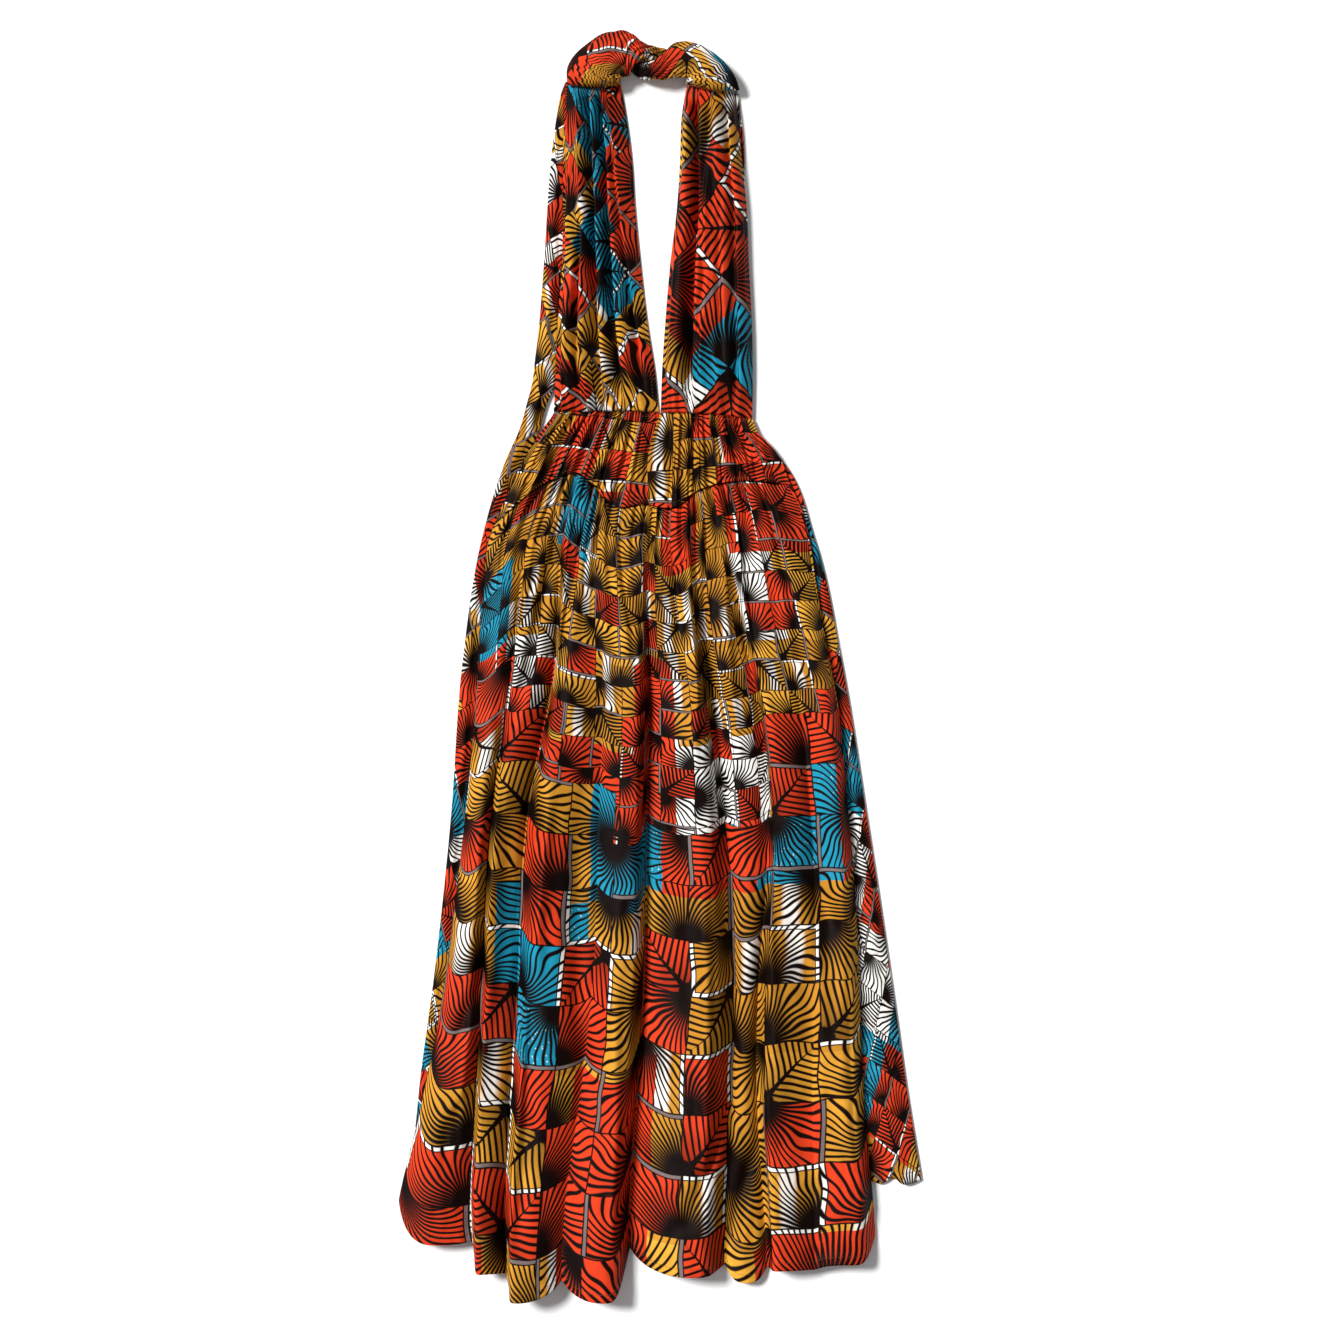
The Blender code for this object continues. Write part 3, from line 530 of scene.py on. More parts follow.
def printed_cotton(name, seed, rays=RAYS, small_until=None, redness=0.0, red_from=None):
    """Waxed cotton with the print in large squares, and in small ones above the row small_until.

    From the row red_from on, the squares turn redder downwards.
    """
    material, shader = new_finish(name, roughness=ROUGHNESS, specular=0.05)
    tree = material.node_tree

    def squares(map_name, number, ray_count):
        """The places of one UV map, and the patchwork drawn at them."""
        places = tree.nodes.new("ShaderNodeUVMap")
        places.uv_map = map_name
        group = tree.nodes.new("ShaderNodeGroup")
        group.node_tree = fan_squares
        group.inputs["Seed"].default_value = number
        group.inputs["Rays"].default_value = ray_count
        group.inputs["Redness"].default_value = redness
        tree.links.new(places.outputs[0], group.inputs["Place"])
        return places.outputs[0], group

    place, large = squares("large", seed, rays)
    x, y, _ = parts_of(tree, place)
    colour, ink = large.outputs["Colour"], Field(tree, large.outputs["Ink"])
    if red_from is not None:
        grown = (y.step("FLOOR") - red_from) * REDDER_EACH_ROW + redness
        tree.links.new(grown.most(redness).least(REDDEST).socket, large.inputs["Redness"])
    if small_until is not None:
        _, small = squares("small", seed + 20.5, SMALL_RAYS)
        small.inputs["Redness"].default_value = 0.0
        drawn_x, drawn_y, _ = parts_of(tree, large.outputs["Drawn place"])
        luck = chance(tree, drawn_x, drawn_y, seed + 41.0)[0]
        from_middle = (drawn_x.step("FLOOR") - SMALL_MIDDLE).size()
        reach = drawn_y.step("FLOOR") + from_middle * SMALL_SLOPE + luck * SMALL_LUCK
        in_small = reach.below(small_until, SHARP)
        colour = blended(tree, in_small, colour, small.outputs["Colour"])
        ink = ink + (Field(tree, small.outputs["Ink"]) - ink) * in_small

    body = tree.nodes.new("ShaderNodeTexCoord").outputs["Object"]
    uneven_dye = (spots(tree, body, DYE_SPOTS, 6)[0] - 0.5) * DYE_CHANGE + 1
    tree.links.new(dimmed(tree, colour, uneven_dye), shader.inputs["Base Color"])

    weave = (x * THREADS).step("SINE") * (y * THREADS).step("SINE")
    height = spots(tree, body, CRUMPLE_SPOTS, 3)[0] + weave * THREAD_RELIEF + ink * INK_RELIEF
    bump = tree.nodes.new("ShaderNodeBump")
    bump.inputs["Strength"].default_value = 0.7
    bump.inputs["Distance"].default_value = CRUMPLE_DEPTH
    tree.links.new(height.socket, bump.inputs["Height"])
    tree.links.new(bump.outputs[0], shader.inputs["Normal"])
    roughness = ink * -INK_GLOSS + ROUGHNESS
    tree.links.new(roughness.socket, shader.inputs["Roughness"])
    return material


# The stitches are short rounded lengths of brown thread, half sunk in the cloth.
STITCH_SPACING, STITCH_LENGTH, THREAD_WIDTH = 0.0042, 0.0029, 0.0008
STITCH_SEGMENTS, STITCH_RINGS = 6, 4
THREAD_SHADE, THREAD_LIGHT = (0.055, 0.022, 0.010), (0.16, 0.075, 0.030)
TWIST_SPOTS = 900


def make_stitch_rows():
    """The geometry nodes that lay stitches one after another along lines of edges."""
    tree = bpy.data.node_groups.new("rows of stitches", "GeometryNodeTree")
    tree.interface.new_socket("Lines", in_out="INPUT", socket_type="NodeSocketGeometry")
    for socket_name in ("Spacing", "Stitch length", "Thread width"):
        tree.interface.new_socket(socket_name, in_out="INPUT", socket_type="NodeSocketFloat")
    tree.interface.new_socket("Thread", in_out="INPUT", socket_type="NodeSocketMaterial")
    tree.interface.new_socket("Stitches", in_out="OUTPUT", socket_type="NodeSocketGeometry")
    given = tree.nodes.new("NodeGroupInput")
    result = tree.nodes.new("NodeGroupOutput")
    line = tree.nodes.new("GeometryNodeMeshToCurve")
    spaced = tree.nodes.new("GeometryNodeResampleCurve")
    spaced.mode = "LENGTH"
    direction = tree.nodes.new("GeometryNodeInputTangent")
    turned = tree.nodes.new("FunctionNodeAlignRotationToVector")
    turned.axis = "X"
    stitch = tree.nodes.new("GeometryNodeMeshUVSphere")
    stitch.inputs["Segments"].default_value = STITCH_SEGMENTS
    stitch.inputs["Rings"].default_value = STITCH_RINGS
    stitch.inputs["Radius"].default_value = 0.5
    size = tree.nodes.new("ShaderNodeCombineXYZ")
    copies = tree.nodes.new("GeometryNodeInstanceOnPoints")
    real = tree.nodes.new("GeometryNodeRealizeInstances")
    threaded = tree.nodes.new("GeometryNodeSetMaterial")
    links = (
        (given.outputs["Lines"], line.inputs["Mesh"]),
        (line.outputs["Curve"], spaced.inputs["Curve"]),
        (given.outputs["Spacing"], spaced.inputs["Length"]),
        (direction.outputs["Tangent"], turned.inputs["Vector"]),
        (given.outputs["Stitch length"], size.inputs["X"]),
        (given.outputs["Thread width"], size.inputs["Y"]),
        (given.outputs["Thread width"], size.inputs["Z"]),
        (spaced.outputs["Curve"], copies.inputs["Points"]),
        (stitch.outputs["Mesh"], copies.inputs["Instance"]),
        (turned.outputs["Rotation"], copies.inputs["Rotation"]),
        (size.outputs["Vector"], copies.inputs["Scale"]),
        (copies.outputs["Instances"], real.inputs["Geometry"]),
        (real.outputs["Geometry"], threaded.inputs["Geometry"]),
        (given.outputs["Thread"], threaded.inputs["Material"]),
        (threaded.outputs["Geometry"], result.inputs["Stitches"]),
    )
    for source, target in links:
        tree.links.new(source, target)
    return tree


def brown_thread():
    """Twisted brown sewing thread."""
    material, shader = new_finish("brown thread", roughness=0.65, specular=0.2)
    tree = material.node_tree
    body = tree.nodes.new("ShaderNodeTexCoord").outputs["Object"]
    twist = spots(tree, body, TWIST_SPOTS, 2)[0]
    tree.links.new(blended(tree, twist, THREAD_SHADE, THREAD_LIGHT), shader.inputs["Base Color"])
    return material


stitch_rows, thread = make_stitch_rows(), brown_thread()


def sew(name, lines):
    """Stitches along lines of points, as one piece."""
    counts = [len(points) for points in lines]
    firsts = np.cumsum([0] + counts[:-1])
    starts = [int(first) + n for first, count in zip(firsts, counts) for n in range(count - 1)]
    edges = [(start, start + 1) for start in starts]
    guide_mesh = bpy.data.meshes.new(name + "_line")
    guide_mesh.from_pydata(np.concatenate(lines).tolist(), edges, [])
    guide = linked(name + "_line", guide_mesh)
    laid = guide.modifiers.new("stitches", "NODES")
    laid.node_group = stitch_rows
    given = {
        "Spacing": STITCH_SPACING,
        "Stitch length": STITCH_LENGTH,
        "Thread width": THREAD_WIDTH,
        "Thread": thread,
    }
    for socket in stitch_rows.interface.items_tree:
        if socket.name in given:
            laid[socket.identifier] = given[socket.name]
    evaluated = guide.evaluated_get(bpy.context.evaluated_depsgraph_get())
    piece = linked(name, bpy.data.meshes.new_from_object(evaluated))
    guide.modifiers.remove(laid)
    bpy.data.objects.remove(guide)
    piece.data.shade_smooth()
    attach(piece, "root")
    return piece


def lay_tail(name, node, edges, strap, side, seed):
    """A strap end folded double along its outer edge, one layer on the floor and one on top."""
    half = TAIL_HEIGHT / 2
    down = np.linspace(0, 1, TAIL_ROWS)
    y = edges[0].y + down * (edges[-1].y - edges[0].y)
    outer, width = column_of(edges, "y", "outer", y), column_of(edges, "y", "width", y)
    strap_edge = column_of(strap, "y", "left" if side < 0 else "right", y)
    cover = np.where(y > BAND_TOP_Y, strap_edge, body_left(y) if side < 0 else body_right(y))
    shown = np.minimum(side * (outer - cover), width) - TAIL_CLEAR
    shown = np.clip(shown, TAIL_LAYER_LEAST, TAIL_LAYER_MOST)
    lift = np.minimum(TAIL_ROUND, TAIL_ROUND_SHARE * (shown - TAIL_ROUND_FROM))
    room = np.clip((shown - TAIL_CRUMPLE_FROM) / TAIL_CRUMPLE_RUN, 0, 1)

    # Each place of the section is an inward distance from the fold and a height, for every row.
    section = [(width, 0 * y), (0.5 * width, 0 * y)]
    for bend in np.linspace(-0.5 * np.pi, -1.5 * np.pi, TAIL_BEND_STEPS):
        section.append((half + half * np.cos(bend) + 0 * y, half + half * np.sin(bend) + 0 * y))
    for share in np.linspace(0, 1, TAIL_COLUMNS + 1)[1:]:
        inward = half + share * (shown - half)
        rise = lift * math.sin(math.pi * share) ** 2
        crumple = 1 + ripples(0.8 * inward, y, TAIL_CRUMPLE_LENGTH, seed)
        crumple = TAIL_CRUMPLE * crumple * math.sin(math.pi * share)
        section.append((np.minimum(inward, width - TAIL_INNER_LEAST), TAIL_HEIGHT + rise + crumple * room))
    section.append((np.maximum(width, shown + TAIL_INNER_OVER), TAIL_HEIGHT + 0 * y))
    section = np.stack([np.stack(place, -1) for place in section], 1)
    y = np.repeat(y[:, None], section.shape[1], 1)
    if side > 0:
        inward = section[..., 0] / section[:, -1:, 0]
        rise = along(np.linspace(0, 1, len(TAIL_END_WAVES)), TAIL_END_WAVES, inward)
        y = y + rise * past(TAIL_END_FROM, down[:, None])
    points = np.stack([outer[:, None] - side * section[..., 0], y, section[..., 1]], -1)
    around = np.cumsum(np.linalg.norm(np.diff(section, axis=1, prepend=section[:, :1]), axis=-1), 1)
    across = TAIL_PRINT_STRETCH * around
    prints = {"large": print_places(across, -y, TAIL_SQUARE, TAIL_PRINT_TURN, (0.3 * seed, 0))}
    if side > 0:
        points = points[:, ::-1]
        prints = {map_name: places[:, ::-1] for map_name, places in prints.items()}
    piece = cloth_wall(name, points, prints)
    piece.data.materials.append(printed_cotton(name + " print", seed, rays=FEW_RAYS))
    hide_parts(node)
    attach(piece, "root")
    if side > 0:
        line = points[TAIL_STITCH_ROW, TAIL_STITCH_FROM:TAIL_STITCH_TO]
        sew(name + "_stitches", [line])


lay_tail(
    "tail_left_cloth",
    "strap_tail_left",
    LEFT_TAIL,
    LEFT_STRAP,
    side=-1,
    seed=3.0,
)
lay_tail(
    "tail_right_cloth",
    "strap_tail_right",
    RIGHT_TAIL,
    RIGHT_STRAP,
    side=1,
    seed=5.0,
)


# Back of the band and of the skirt
# The back panels are plain, flat lengths of the same cotton. They lie on the floor in the middle
# and over the strap ends at the sides, and show only from below and at the hem.
TAIL_END_MARGIN, TAIL_END_RUN = 0.022, 0.030
BACK_CLOTH = 0.0018
BACK_TOP_Y = 0.281
BACK_INSET = 0.003
BACK_MARGIN, BACK_RUN = 0.004, 0.011
BACK_COLUMNS = (4, 6, 24, 6, 4)  # over each tail, down beside it, and in the middle, from the left
BACK_SQUARE, BACK_SMALL_SQUARE = 0.075, 0.036
ROUNDS = 12  # of the search for the place where a column crosses a curved seam
WAIST_NEAR_Y = 0.2  # where that search begins for the waist
Seam = namedtuple("Seam", "x y")
WAIST = (
    Seam(-0.199, 0.169),
    Seam(-0.175, 0.192),
    Seam(-0.146, 0.215),
    Seam(-0.120, 0.228),
    Seam(-0.096, 0.231),
    Seam(-0.078, 0.214),
    Seam(-0.063, 0.197),
    Seam(-0.020, 0.194),
    Seam(0.026, 0.195),
    Seam(0.038, 0.206),
    Seam(0.062, 0.217),
    Seam(0.096, 0.222),
    Seam(0.157, 0.218),
)
BACK_HEM = (
    Seam(-0.306, -0.640),
    Seam(-0.285, -0.664),
    Seam(-0.22, -0.673),
    Seam(0.0, -0.676),
    Seam(0.26, -0.674),
)


def waist_y(x):
    """The seam between band and skirt, as y at x."""
    return column_of(WAIST, "x", "y", x)


def tail_inner_edge(tail, inwards, y):
    """The x of a strap end's inner edge, where inwards is 1 for the left one and -1 for the right."""
    return column_of(tail, "y", "outer", y) + inwards * column_of(tail, "y", "width", y)


def over_tails(x, y, margin, run):
    """How far the strap ends lift what lies on them: level past their inner edges, then down to 0."""
    lift = 0
    for tail, inwards in ((LEFT_TAIL, 1), (RIGHT_TAIL, -1)):
        beyond = inwards * (x - tail_inner_edge(tail, inwards, y)) - margin
        past_end = tail[-1].y - y - TAIL_END_MARGIN
        lift = np.maximum(lift, (1 - smooth(beyond / run)) * (1 - smooth(past_end / TAIL_END_RUN)))
    return lift * (TAIL_HEIGHT + SEAM_GAP)


def back_columns(y):
    """The x of each column of the back: its edges, the steps by the tails' inner edges, the middle."""
    left, right = body_left(y) + BACK_INSET, body_right(y) - BACK_INSET
    left_step = np.maximum(tail_inner_edge(LEFT_TAIL, 1, y), left) + BACK_MARGIN
    right_step = np.minimum(tail_inner_edge(RIGHT_TAIL, -1, y), right) - BACK_MARGIN
    edges = (left, left_step, left_step + BACK_RUN, right_step - BACK_RUN, right_step, right)
    columns = [left]
    for first, last, count in zip(edges[:-1], edges[1:], BACK_COLUMNS):
        columns += [first + (last - first) * step / count for step in range(1, count + 1)]
    return columns


def lay_back(name, node, top, bottom, rows, seed):
    """A flat panel of the back between two curves of y over x."""
    down = np.linspace(0, 1, rows)
    y = np.repeat((top(0.0) + down * (bottom(0.0) - top(0.0)))[:, None], len(back_columns(0.0)), 1)
    for _ in range(ROUNDS):
        x = np.stack([column[:, number] for number, column in enumerate(back_columns(y))], -1)
        y = top(x) + down[:, None] * (bottom(x) - top(x))
    z = over_tails(x, y, BACK_MARGIN, BACK_RUN) + BACK_CLOTH
    prints = {
        "large": print_places(x, -y, BACK_SQUARE, 0, (8.2, 9.1)),
        "small": print_places(x, -y, BACK_SMALL_SQUARE, 0, (5.0, 4.0)),
    }
    piece = cloth_wall(name, np.stack([x, y, z], -1), prints, BACK_CLOTH, straight_down=True)
    cotton = printed_cotton(name + " print", seed, small_until=9.0, redness=0.12, red_from=16)
    piece.data.materials.append(cotton)
    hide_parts(node)
    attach(piece, "root")


lay_back(
    "skirt_back_cloth",
    "skirt_back",
    top=lambda x: waist_y(x) - SEAM_GAP / 2,
    bottom=lambda x: column_of(BACK_HEM, "x", "y", x),
    rows=151,
    seed=7.0,
)
lay_back(
    "yoke_back_cloth",
    "yoke_back",
    top=lambda x: BACK_TOP_Y + 0 * x,
    bottom=lambda x: waist_y(x) + SEAM_GAP / 2,
    rows=25,
    seed=9.0,
)


# Front of the skirt
# The front is one wide length of printed cotton, drawn up in small gathers at the band. Below them
# it falls in eight large, uneven folds, whose ends make the lobes of the hem.
SEAM_LIFT = 0.0030
GATHER_COLUMNS = 4
GATHER_HEIGHT = 0.0048
PUCKER_COLUMNS = 2.3
PUCKER_HEIGHT = 0.0052
FOLD_Y = (0.195, 0.031, -0.161, -0.401, -0.700)
Fold = namedtuple("Fold", "columns valley crest_mid crest_hem foot_mid foot_hem lean crest_y foot_y")
FOLDS = (
    Fold(9, (0.119, 0.101, 0.070, 0.095, 0.167), 0.014, 0.018, 0.005, 0.007, 0.2, -0.693, -0.690),
    Fold(7, (0.224, 0.220, 0.163, 0.178, 0.234), 0.020, 0.024, 0.001, 0.002, -0.35, -0.727, -0.730),
    Fold(10, (0.350, 0.353, 0.349, 0.358, 0.351), 0.029, 0.033, 0.013, 0.013, -0.5, -0.759, -0.735),
    Fold(10, (0.500, 0.486, 0.475, 0.483, 0.491), 0.025, 0.029, 0.000, 0.000, 0.3, -0.760, -0.699),
    Fold(12, (0.647, 0.640, 0.676, 0.700, 0.688), 0.027, 0.031, 0.002, 0.001, 0.5, -0.729, -0.719),
    Fold(6, (0.729, 0.766, 0.790, 0.755, 0.774), 0.016, 0.010, 0.006, 0.001, 0.0, -0.740, -0.722),
    Fold(8, (0.845, 0.882, 0.900, 0.890, 0.872), 0.024, 0.028, 0.011, 0.013, -0.5, -0.722, -0.723),
    Fold(8, (1.000, 1.000, 1.000, 1.000, 1.000), 0.018, 0.022, 0.000, 0.000, 0.3, -0.716, -0.684),
)
LEFT_HEM_Y = -0.642
FOLDS_FULL_AT = 0.23
GATHERS_END_AT = 0.085
PUCKERS_END_AT, PUCKERS_END_CHANGE = 0.075, 0.035
HEM_CHANGE_FROM = 0.4
FOLD_FULLNESS = 1.15
CREASE_BOW = 0.006
CREASE_LEAST, CREASE_FADE = 0.001, 0.006  # no crease where the cloth lies lower than this
SKIRT_RIPPLE, SKIRT_RIPPLE_LENGTH = 0.0008, 0.024
FRONT_MARGIN, FRONT_RUN = 0.009, 0.016
OVER_BACK_FROM, OVER_BACK_RUN = 0.014, 0.012
WAIST_DIP, WAIST_DIP_RUN = 0.0055, 0.0042
HEM_TURN, HEM_TURN_THICK, HEM_TURN_RUN = 0.0125, 0.0008, 0.002
HEM_STITCH_ROW, WAIST_STITCH_ROW, SKIRT_STITCH_INSET = -6, 2, 4
SIDE_COLUMNS = 5
CENTRE_COLUMN = sum(fold.columns for fold in FOLDS[:4])
LAST_COLUMN = sum(fold.columns for fold in FOLDS)
# The listed creases: a soft ridge, or a trough where its height is under 0, from one
# point of the cloth to another.
Crease = namedtuple("Crease", "x0 y0 x1 y1 height width")
SKIRT_CREASES = (
    Crease(-0.150, 0.190, -0.190, -0.080, 0.0059, 0.0064),
    Crease(-0.128, 0.200, -0.150, -0.040, -0.0089, 0.0058),
    Crease(-0.112, 0.205, -0.128, -0.130, 0.0068, 0.0056),
    Crease(-0.088, 0.200, -0.098, -0.060, -0.0077, 0.0058),
    Crease(-0.060, 0.180, -0.066, -0.160, 0.0068, 0.0064),
    Crease(-0.042, 0.180, -0.044, -0.020, -0.0077, 0.0048),
    Crease(-0.020, 0.180, -0.024, -0.110, 0.0059, 0.0056),
    Crease(0.010, 0.180, 0.006, -0.060, -0.0077, 0.0058),
    Crease(0.028, 0.180, 0.030, -0.150, 0.0068, 0.0064),
    Crease(0.052, 0.200, 0.062, -0.020, -0.0077, 0.0048),
    Crease(0.075, 0.205, 0.098, -0.120, 0.0059, 0.0056),
    Crease(0.105, 0.205, 0.128, 0.000, -0.0077, 0.0058),
    Crease(0.128, 0.205, 0.160, -0.060, 0.0059, 0.0056),
    Crease(-0.200, -0.050, -0.250, -0.600, 0.0059, 0.0080),
    Crease(-0.170, -0.150, -0.205, -0.560, -0.0077, 0.0086),
    Crease(-0.118, -0.100, -0.130, -0.420, 0.0078, 0.0080),
    Crease(-0.140, -0.330, -0.150, -0.735, -0.0102, 0.0086),
    Crease(-0.085, -0.120, -0.088, -0.520, -0.0102, 0.0086),
    Crease(-0.050, -0.250, -0.070, -0.700, 0.0068, 0.0080),
    Crease(-0.005, -0.080, 0.004, -0.440, -0.0102, 0.0096),
    Crease(0.030, -0.200, 0.045, -0.690, 0.0078, 0.0088),
    Crease(0.058, -0.080, 0.078, -0.330, -0.0077, 0.0077),
    Crease(0.128, -0.060, 0.150, -0.520, 0.0068, 0.0080),
    Crease(0.165, -0.040, 0.205, -0.420, -0.0089, 0.0086),
    Crease(0.180, -0.300, 0.190, -0.700, 0.0068, 0.0080),
    Crease(0.220, -0.250, 0.236, -0.640, -0.0065, 0.0077),
    Crease(-0.150, 0.020, -0.196, -0.120, -0.0075, 0.0085),
    Crease(0.100, 0.060, 0.168, -0.080, -0.0075, 0.0085),
    Crease(0.150, -0.190, 0.214, -0.350, -0.0085, 0.0090),
    Crease(-0.196, -0.330, -0.262, -0.470, -0.0080, 0.0100),
    Crease(0.104, -0.540, 0.030, -0.690, 0.0040, 0.0130),
    Crease(0.088, -0.530, 0.006, -0.680, -0.0100, 0.0105),
    Crease(0.122, -0.570, 0.072, -0.700, -0.0100, 0.0100),
)


def creases(x, y, rows):
    """The height that the listed creases add at x and y."""
    height = 0
    for row in rows:
        reach = (row.y0 - y) / (row.y0 - row.y1)
        bow = CREASE_BOW * np.sin(np.pi * reach + 40 * row.x0)
        middle = row.x0 + reach * (row.x1 - row.x0) + bow
        strength = np.sin(np.pi * np.clip(reach, 0, 1)) ** 0.7
        height = height + row.height * strength * bell(x - middle, row.width)
    return height


def swell(u):
    """A step from 0 at a fold's foot to 1 at its crest, with a narrow foot and a full crest."""
    return np.sin(0.5 * np.pi * np.clip(u, 0, 1) ** 0.58) ** 2


def under_front(x, y):
    """The top of what the front lies on: the strap ends, and the back from its top edge down."""
    back = smooth((BACK_TOP_Y + OVER_BACK_FROM - y) / OVER_BACK_RUN)
    return over_tails(x, y, FRONT_MARGIN, FRONT_RUN) + back * (BACK_CLOTH + SEAM_GAP)


def gathers(column):
    """The small gathers of a sewn seam, each of its own height."""
    turn = column / GATHER_COLUMNS
    uneven = 0.8 + 0.2 * np.sin(2.3 * np.floor(turn) + 0.7)
    fine = 0.16 * np.sin(2 * np.pi * turn * 2.7 + 2 * np.sin(1.3 * turn))
    return np.clip(uneven * (0.5 - 0.5 * np.cos(2 * np.pi * turn)) + fine, 0, 1.2)


def puckers(column):
    """The finest gathers, sharp in their valleys, that the drawn-up thread makes beside a seam."""
    return np.abs(np.sin(math.pi * column / PUCKER_COLUMNS + 0.9 * np.sin(0.53 * column))) - 0.35


def fold_position(column):
    """For each column: its fold's number, and its place from 0 at the left foot to 1 at the right."""
    ends = np.cumsum([0] + [fold.columns for fold in FOLDS])
    number = np.clip(np.searchsorted(ends, column, side="right") - 1, 0, len(FOLDS) - 1)
    return number, (column - ends[number]) / (ends[number + 1] - ends[number])


def hem_lobe(u):
    """A step from 0 at a lobe's corner to 1, fast and then level, as a hem has."""
    return 1 - (1 - np.clip(u, 0, 1)) ** 3


def between_feet(column, first, foot_field, crest_field, rise=swell):
    """A smooth value across the skirt, from a column of the fold table for the feet and one for the crests.

    It is first at the left side of the skirt. With no foot_field, it is 0 at every fold's foot.
    """
    number, place = fold_position(column)
    feet = np.array([first] + [getattr(fold, foot_field) if foot_field else 0 for fold in FOLDS])
    crests = np.array([getattr(fold, crest_field) for fold in FOLDS])
    foot = np.where(place < 0.5, feet[number], feet[number + 1])
    return foot + (crests[number] - foot) * rise(1 - np.abs(2 * place - 1))


def width_share(column, y):
    """Where a column stands across the skirt at the height y, as a share of its width."""
    number, place = fold_position(column)
    valleys = [(0,) * len(FOLD_Y)] + [fold.valley for fold in FOLDS]
    feet = np.array([along(FOLD_Y, valley, y) for valley in valleys])
    left = np.take_along_axis(feet, number[None], 0)[0]
    right = np.take_along_axis(feet, number[None] + 1, 0)[0]
    return left + place * (right - left)


def across_body(share, y):
    """The x at a share of the width of the band or skirt, from its left edge."""
    return body_left(y) + share * (body_right(y) - body_left(y))


def waist_column(column):
    """The point of the waist seam at each column, as x and y."""
    share = width_share(column, np.full(column.shape, FOLD_Y[0]))
    y = np.full(column.shape, WAIST_NEAR_Y)
    for _ in range(ROUNDS):
        y = waist_y(across_body(share, y))
    return across_body(share, y), y


def skirt_front_surface(column, down):
    """The outer face of the front of the skirt."""
    _, top = waist_column(column)
    hem = between_feet(column, LEFT_HEM_Y, "foot_y", "crest_y", hem_lobe)
    y = top - SEAM_GAP / 2 + down * (hem - top)
    x = across_body(width_share(column, y), y)
    middle = between_feet(column, 0, "foot_mid", "crest_mid")
    low = between_feet(column, 0, "foot_hem", "crest_hem")
    folds = FOLD_FULLNESS * (middle + (low - middle) * past(HEM_CHANGE_FROM, down))
    grown = smooth((top - y) / FOLDS_FULL_AT)
    gathered = bell(top - y, GATHERS_END_AT)
    edge = smooth(np.minimum(column, LAST_COLUMN - column) / SIDE_COLUMNS)
    relief = folds * grown + edge * (SEAM_LIFT * (1 - grown) + GATHER_HEIGHT * gathers(column) * gathered)
    lean = between_feet(column, 0, None, "lean")
    fine = creases(x, y, SKIRT_CREASES) + SKIRT_RIPPLE * ripples(x, 0.3 * y, SKIRT_RIPPLE_LENGTH, 1.0)
    room = np.clip((relief - CREASE_LEAST) / CREASE_FADE, 0, 1)
    relief = np.maximum(relief + edge * fine * room, 0)
    puckered = bell(top - y, PUCKERS_END_AT + PUCKERS_END_CHANGE * np.sin(0.9 * column))
    relief = relief + PUCKER_HEIGHT * edge * puckers(column) * puckered
    relief = np.maximum(relief - WAIST_DIP * edge * bell(top - y, WAIST_DIP_RUN), 0)
    relief = relief + HEM_TURN_THICK * (1 - smooth(((y - hem) - HEM_TURN) / HEM_TURN_RUN))
    z = under_front(x, y) + SEAM_GAP + CLOTH + relief
    return np.stack([x + lean * folds * grown, y, z], -1)


# The rows lie closer together at the gathers and at the turned hem.
SKIRT_DOWN = np.concatenate(
    [
        np.linspace(0, 0.10, 40, endpoint=False),
        np.linspace(0.10, 0.96, 121, endpoint=False),
        np.linspace(0.96, 1, 20),
    ]
)
POINTS_EACH = 6  # from one column of the cloth to the next
skirt_column, skirt_down = np.meshgrid(np.linspace(0, LAST_COLUMN, POINTS_EACH * LAST_COLUMN + 1), SKIRT_DOWN)
skirt_points = skirt_front_surface(skirt_column, skirt_down)


def arc_across(points, row):
    """The length of the cloth from its left edge to each column, measured along one row."""
    return np.cumsum(np.linalg.norm(np.diff(points[row], axis=0, prepend=points[row][:1]), axis=-1))


def rows_of_squares(down, length, first, last):
    """How many squares lie above each place, where their height grows evenly from first to last."""
    growth = last - first
    return length / growth * np.log1p(growth * down / first)


# The large squares grow in height from band to hem, and the small ones are the same all over.
SKIRT_LENGTH = 0.95
MIDDLE_DOWN, HIP_DOWN = 0.62, 0.18
LARGE_WIDTH, LARGE_HEIGHT_TOP, LARGE_HEIGHT_HEM = 0.074, 0.052, 0.080
SMALL_WIDTH, SMALL_HEIGHT = 0.034, 0.036
middle_arc = arc_across(skirt_points, int(np.searchsorted(SKIRT_DOWN, MIDDLE_DOWN)))
hip_arc = arc_across(skirt_points, int(np.searchsorted(SKIRT_DOWN, HIP_DOWN)))
large_rows = rows_of_squares(skirt_down, SKIRT_LENGTH, LARGE_HEIGHT_TOP, LARGE_HEIGHT_HEM)
small_rows = skirt_down * SKIRT_LENGTH / SMALL_HEIGHT
skirt_prints = {
    "large": np.stack([middle_arc[None] / LARGE_WIDTH + 0 * skirt_down, large_rows], -1),
    "small": np.stack([hip_arc[None] / SMALL_WIDTH + 0 * skirt_down, small_rows], -1),
}
skirt_front = cloth_wall("skirt_front_cloth", skirt_points, skirt_prints)
skirt_cotton = printed_cotton("skirt front print", 2.0, small_until=8.0, redness=0.14, red_from=9)
skirt_front.data.materials.append(skirt_cotton)
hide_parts("skirt_front")
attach(skirt_front, "root")
stitched_columns = slice(SKIRT_STITCH_INSET, -SKIRT_STITCH_INSET)
skirt_lines = [skirt_points[row, stitched_columns] for row in (HEM_STITCH_ROW, WAIST_STITCH_ROW)]
skirt_stitches = sew("skirt_front_stitches", skirt_lines)


